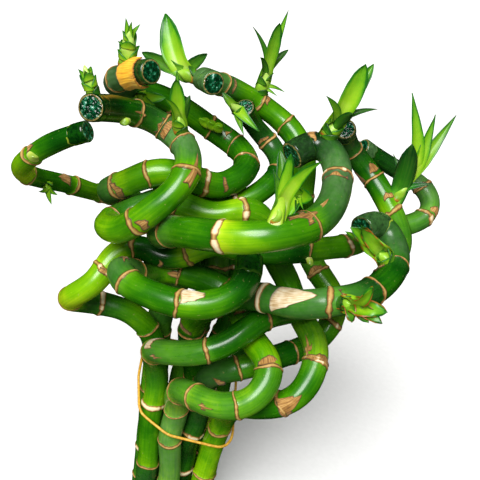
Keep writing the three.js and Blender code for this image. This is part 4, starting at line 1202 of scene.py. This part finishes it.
def leaf_blade(add):
    """Young dracaena leaf, grown: a satin blade with fine parallel veins, pale lime where it holds the
    stem and in its middle, darker at the tip, the edges and in the older leaves. Curled leaves have dry
    brown edges."""
    blade = add("Attribute", attribute_name="blade", out="Vector")
    across, along, dark = add("SeparateXYZ", {0: blade}).node.outputs
    rim = add("Attribute", attribute_name="rim", out="Vector")
    outward, brown, _ = add("SeparateXYZ", {0: rim}).node.outputs
    vein_place = add("VectorMath", {0: blade, 1: (1 / 0.7, 1.0, 3.0)}, operation="MULTIPLY")
    veins = add("TexNoise", {"Scale": 1.6, "Detail": 3, "Vector": vein_place})
    blotches = add("TexNoise", {"Scale": 1 / (5 * MM), "Detail": 3, "Vector": add("NewGeometry")})
    edge_dark = add("MapRange", {0: outward, 1: 0.5, 2: 1.05, 3: -0.14, 4: 0.3})
    read = add("Math", {0: along, 1: edge_dark}, operation="ADD")
    blotched = add("Math", {0: blotches, 1: 0.34, 2: read}, operation="MULTIPLY_ADD")
    young = add("ValToRGB", {0: blotched}, stops=[
        (0.14, "#dbe8a0"), (0.3, "#b9dc48"), (0.55, "#97c71c"),
        (0.82, "#6fb00e"), (1.0, "#3f8f0c"), (1.0, "#1f6e10"),
    ])
    old = add("ValToRGB", {0: blotched}, stops=[
        (0.14, "#9cc83c"), (0.34, "#3c8f12"), (0.6, "#11640e"), (1.0, "#043f10"),
    ])
    toned = add("Mix", {0: dark, 6: young, 7: old}, data_type="RGBA", out=2)
    vein_share = add("MapRange", {0: veins, 1: 0.52, 2: 0.8, 4: 0.13})
    veined = add("Mix", {0: vein_share, 6: toned, 7: "#b4d24e"}, data_type="RGBA", out=2)
    # On the stem, along is -1 and across is how far it is past the skin of its cane
    on_stem = add("Math", {0: along, 1: -0.5}, operation="LESS_THAN")
    stem_place = add("Math", {0: blotches, 1: 2.6, 2: across}, operation="MULTIPLY_ADD")
    stem_share = add("MapRange", {0: stem_place, 2: 12})
    stem = add("ValToRGB", {0: stem_share}, stops=[
        (0.0, "#5a3410"), (0.12, "#a8701c"), (0.2, "#6f9a1c"),
        (0.45, "#8fc02c"), (0.9, "#b4d860"),
    ])
    colored = add("Mix", {0: on_stem, 6: veined, 7: stem}, data_type="RGBA", out=2)
    curled_edge = add("MapRange", {0: outward, 1: 0.75, 2: 1.0, 4: 1.4})
    brown_cover = add("Math", {0: curled_edge, 1: brown}, operation="MULTIPLY")
    withered = add("MapRange", {0: blotches, 1: 0.46, 2: 0.58})
    brown_spots = add("Math", {0: brown_cover, 1: withered}, operation="MULTIPLY")
    browned = add("Mix", {0: brown_spots, 6: colored, 7: "#9c5a14"}, data_type="RGBA", out=2)
    relief = add("Bump", {"Strength": 0.35, "Distance": 0.12 * MM, "Height": veins})
    return add("BsdfPrincipled", {
        "IOR": 1.44, "Roughness": 0.4, "Coat Weight": 0.1, "Coat Roughness": 0.2,
        "Subsurface Weight": 0.15, "Subsurface Radius": (0.5, 1.0, 0.2), "Subsurface Scale": 0.001,
        "Base Color": browned, "Normal": relief,
    })


# The colours of a sheath's fibres, from dark to light, and of its torn edge
SHEATH_COLORS = {
    "withered_sheath": (("#4a300e", "#7e541e", "#a27430", "#c99e5c"), "#3a240a"),
    "bleached_sheath": (("#8f6a3c", "#c9a978", "#e0c9a0", "#efe0c2"), "#7a4a1e"),
    "rusty_sheath": (("#d88a14", "#eda41a", "#f5b422", "#fac838"), "#a0620f"),
}


def fibrous_sheath(add, fiber_colors, edge_color):
    """Dry leaf sheath, withered on the cane and torn: matt fibrous paper, darker along its torn edge."""
    fray = add("Attribute", attribute_name="fray", out="Vector")
    border = add("SeparateXYZ", {0: fray}, out="Z")
    fiber_place = add("VectorMath", {0: fray, 1: (1 / 0.8, 1 / 9, 0)}, operation="MULTIPLY")
    fibers = add("TexNoise", {"Scale": 1.3, "Detail": 5, "Vector": fiber_place})
    stains = add("TexNoise", {"Scale": 1 / (5 * MM), "Detail": 3, "Vector": add("NewGeometry")})
    mixed = add("Math", {0: stains, 1: 0.55, 2: fibers}, operation="MULTIPLY_ADD")
    paper = add("ValToRGB", {0: mixed}, stops=zip((0.5, 0.66, 0.8, 0.94), fiber_colors))
    rim = add("Math", {0: fibers, 1: -1.2, 2: border}, operation="MULTIPLY_ADD")
    rim_share = add("MapRange", {0: rim, 1: 0.1, 2: -0.45, 4: 0.9})
    color = add("Mix", {0: rim_share, 6: paper, 7: edge_color}, data_type="RGBA", out=2)
    relief = add("Bump", {"Strength": 0.4, "Distance": 0.2 * MM, "Height": fibers})
    return add("BsdfPrincipled", {
        "IOR": 1.5, "Roughness": 0.7, "Sheen Weight": 0.1, "Base Color": color, "Normal": relief,
    })


def bud_scales(add):
    """Closed bud, grown: tight pale scales, greener at the tip, with a soft waxy gloss."""
    blade = add("Attribute", attribute_name="blade", out="Vector")
    parts = add("SeparateXYZ", {0: blade}).node.outputs
    spots = add("TexNoise", {"Scale": 1.4, "Detail": 3, "Vector": blade})
    uneven = add("Math", {0: spots, 1: 0.3, 2: parts["Y"]}, operation="MULTIPLY_ADD")
    cream = add("ValToRGB", {0: uneven}, stops=[
        (0.15, "#b98a4a"), (0.4, "#e6dca0"), (0.75, "#b9c850"), (1.0, "#8fa83a"),
    ])
    lime = add("ValToRGB", {0: uneven}, stops=[
        (0.15, "#9aaa24"), (0.4, "#cdf03c"), (0.8, "#a8e018"), (1.0, "#6fae0c"),
    ])
    color = add("Mix", {0: parts["Z"], 6: cream, 7: lime}, data_type="RGBA", out=2)
    relief = add("Bump", {"Strength": 0.4, "Distance": 0.15 * MM, "Height": spots})
    return add("BsdfPrincipled", {
        "IOR": 1.45, "Roughness": 0.45, "Coat Weight": 0.15, "Base Color": color, "Normal": relief,
    })


def satin_rubber(add):
    """Natural rubber, extruded and cut: a satin ochre cord with a faint dusty unevenness."""
    place = add("NewGeometry")
    dust = add("TexNoise", {"Scale": 1 / (1.4 * MM), "Detail": 4, "Vector": place})
    color = add("ValToRGB", {0: dust}, stops=[(0.3, "#b5851c"), (0.55, "#d9a52c"), (0.75, "#e8c05a")])
    relief = add("Bump", {"Strength": 0.2, "Distance": 0.1 * MM, "Height": dust})
    return add("BsdfPrincipled", {
        "IOR": 1.52, "Roughness": 0.48, "Subsurface Weight": 0.1, "Subsurface Scale": 0.001,
        "Base Color": color, "Normal": relief,
    })


def matt_paper(add):
    """Seamless studio paper, pressed matt: pale and without a pattern that draws the eye."""
    place = add("NewGeometry")
    pulp = add("TexNoise", {"Scale": 1 / (4 * MM), "Detail": 2, "Vector": place})
    color = add("ValToRGB", {0: pulp}, stops=[(0.3, "#f1f1ef"), (0.7, "#f5f5f3")])
    return add("BsdfPrincipled", {"Roughness": 0.9, "Specular IOR Level": 0.2, "Base Color": color})


# The studio

FLOOR_HALF = 6000
KEY_HEIGHT = math.radians(48)  # how high the key light stands, and how far it is to the camera's left
KEY_LEFT = math.radians(18)
KEY_SPREAD = math.radians(35)  # a large softbox far away
KEY_STRENGTH = 4.8
WORLD_STRENGTH = 0.3


def add_floor():
    half = FLOOR_HALF
    corners = [(-half, -half, 0), (half, -half, 0), (half, half, 0), (-half, half, 0)]
    floor = add_mesh("floor", corners, [(0, 1, 2, 3)])
    floor.data.materials.append(make_material("studio_paper", matt_paper))
    # The floor shows and takes the shadow, but throws no light up at the canes
    floor.visible_diffuse = False
    floor.visible_glossy = False


def add_lights():
    data = bpy.data.lights.new("softbox", "SUN")
    data.energy = KEY_STRENGTH
    data.angle = KEY_SPREAD
    softbox = bpy.data.objects.new("softbox", data)
    toward = Vector((
        -math.cos(KEY_HEIGHT) * math.sin(KEY_LEFT),
        -math.cos(KEY_HEIGHT) * math.cos(KEY_LEFT),
        math.sin(KEY_HEIGHT),
    ))
    softbox.rotation_euler = toward.to_track_quat("Z", "Y").to_euler()
    bpy.context.scene.collection.objects.link(softbox)
    world = bpy.data.worlds.new("studio")
    world.use_nodes = True
    world.node_tree.nodes["Background"].inputs["Color"].default_value = (1, 1, 1, 1)
    world.node_tree.nodes["Background"].inputs["Strength"].default_value = WORLD_STRENGTH
    bpy.context.scene.world = world
    # The canes mirror the softbox alone, as if the studio's walls were black
    world.cycles_visibility.glossy = False
    # The colours are shown as they are, without a film-like curve
    bpy.context.scene.view_settings.view_transform = "Standard"


# Everything together

CANE_NAMES = (
    "left_coil", "top_left", "top_back", "inner_back", "front_loop",
    "right_loop", "right_arm", "far_right", "far_left", "low_coil",
)


def build():
    add_camera()
    add_floor()
    add_lights()
    canes = {name: read_cane(name, seed) for seed, name in enumerate(CANE_NAMES, start=11)}
    skin = make_material("grown_waxy_cane", waxy_skin)
    wax = make_material("dipped_paraffin_wax", dipped_wax)
    leaf = make_material("grown_leaf_blade", leaf_blade)
    tan, paper, rust = (
        make_material(name, fibrous_sheath, fibers, edge) for name, (fibers, edge) in SHEATH_COLORS.items()
    )
    bud = make_material("grown_bud_scales", bud_scales)
    for cane in canes.values():
        cane_skin(cane, skin)
        wax_cap(cane, wax)
        cane_scraps(cane, "scraps_", False, tan)
        cane_scraps(cane, "pale_scraps_", True, paper)
    for name in SHOOTS:
        shoot_piece(name, canes, leaf)
    for name in BUDS:
        bud_piece(name, canes, bud)
    dry_sheath(canes["top_left"], rust)
    rubber_band(make_material("natural_rubber", satin_rubber))


build()
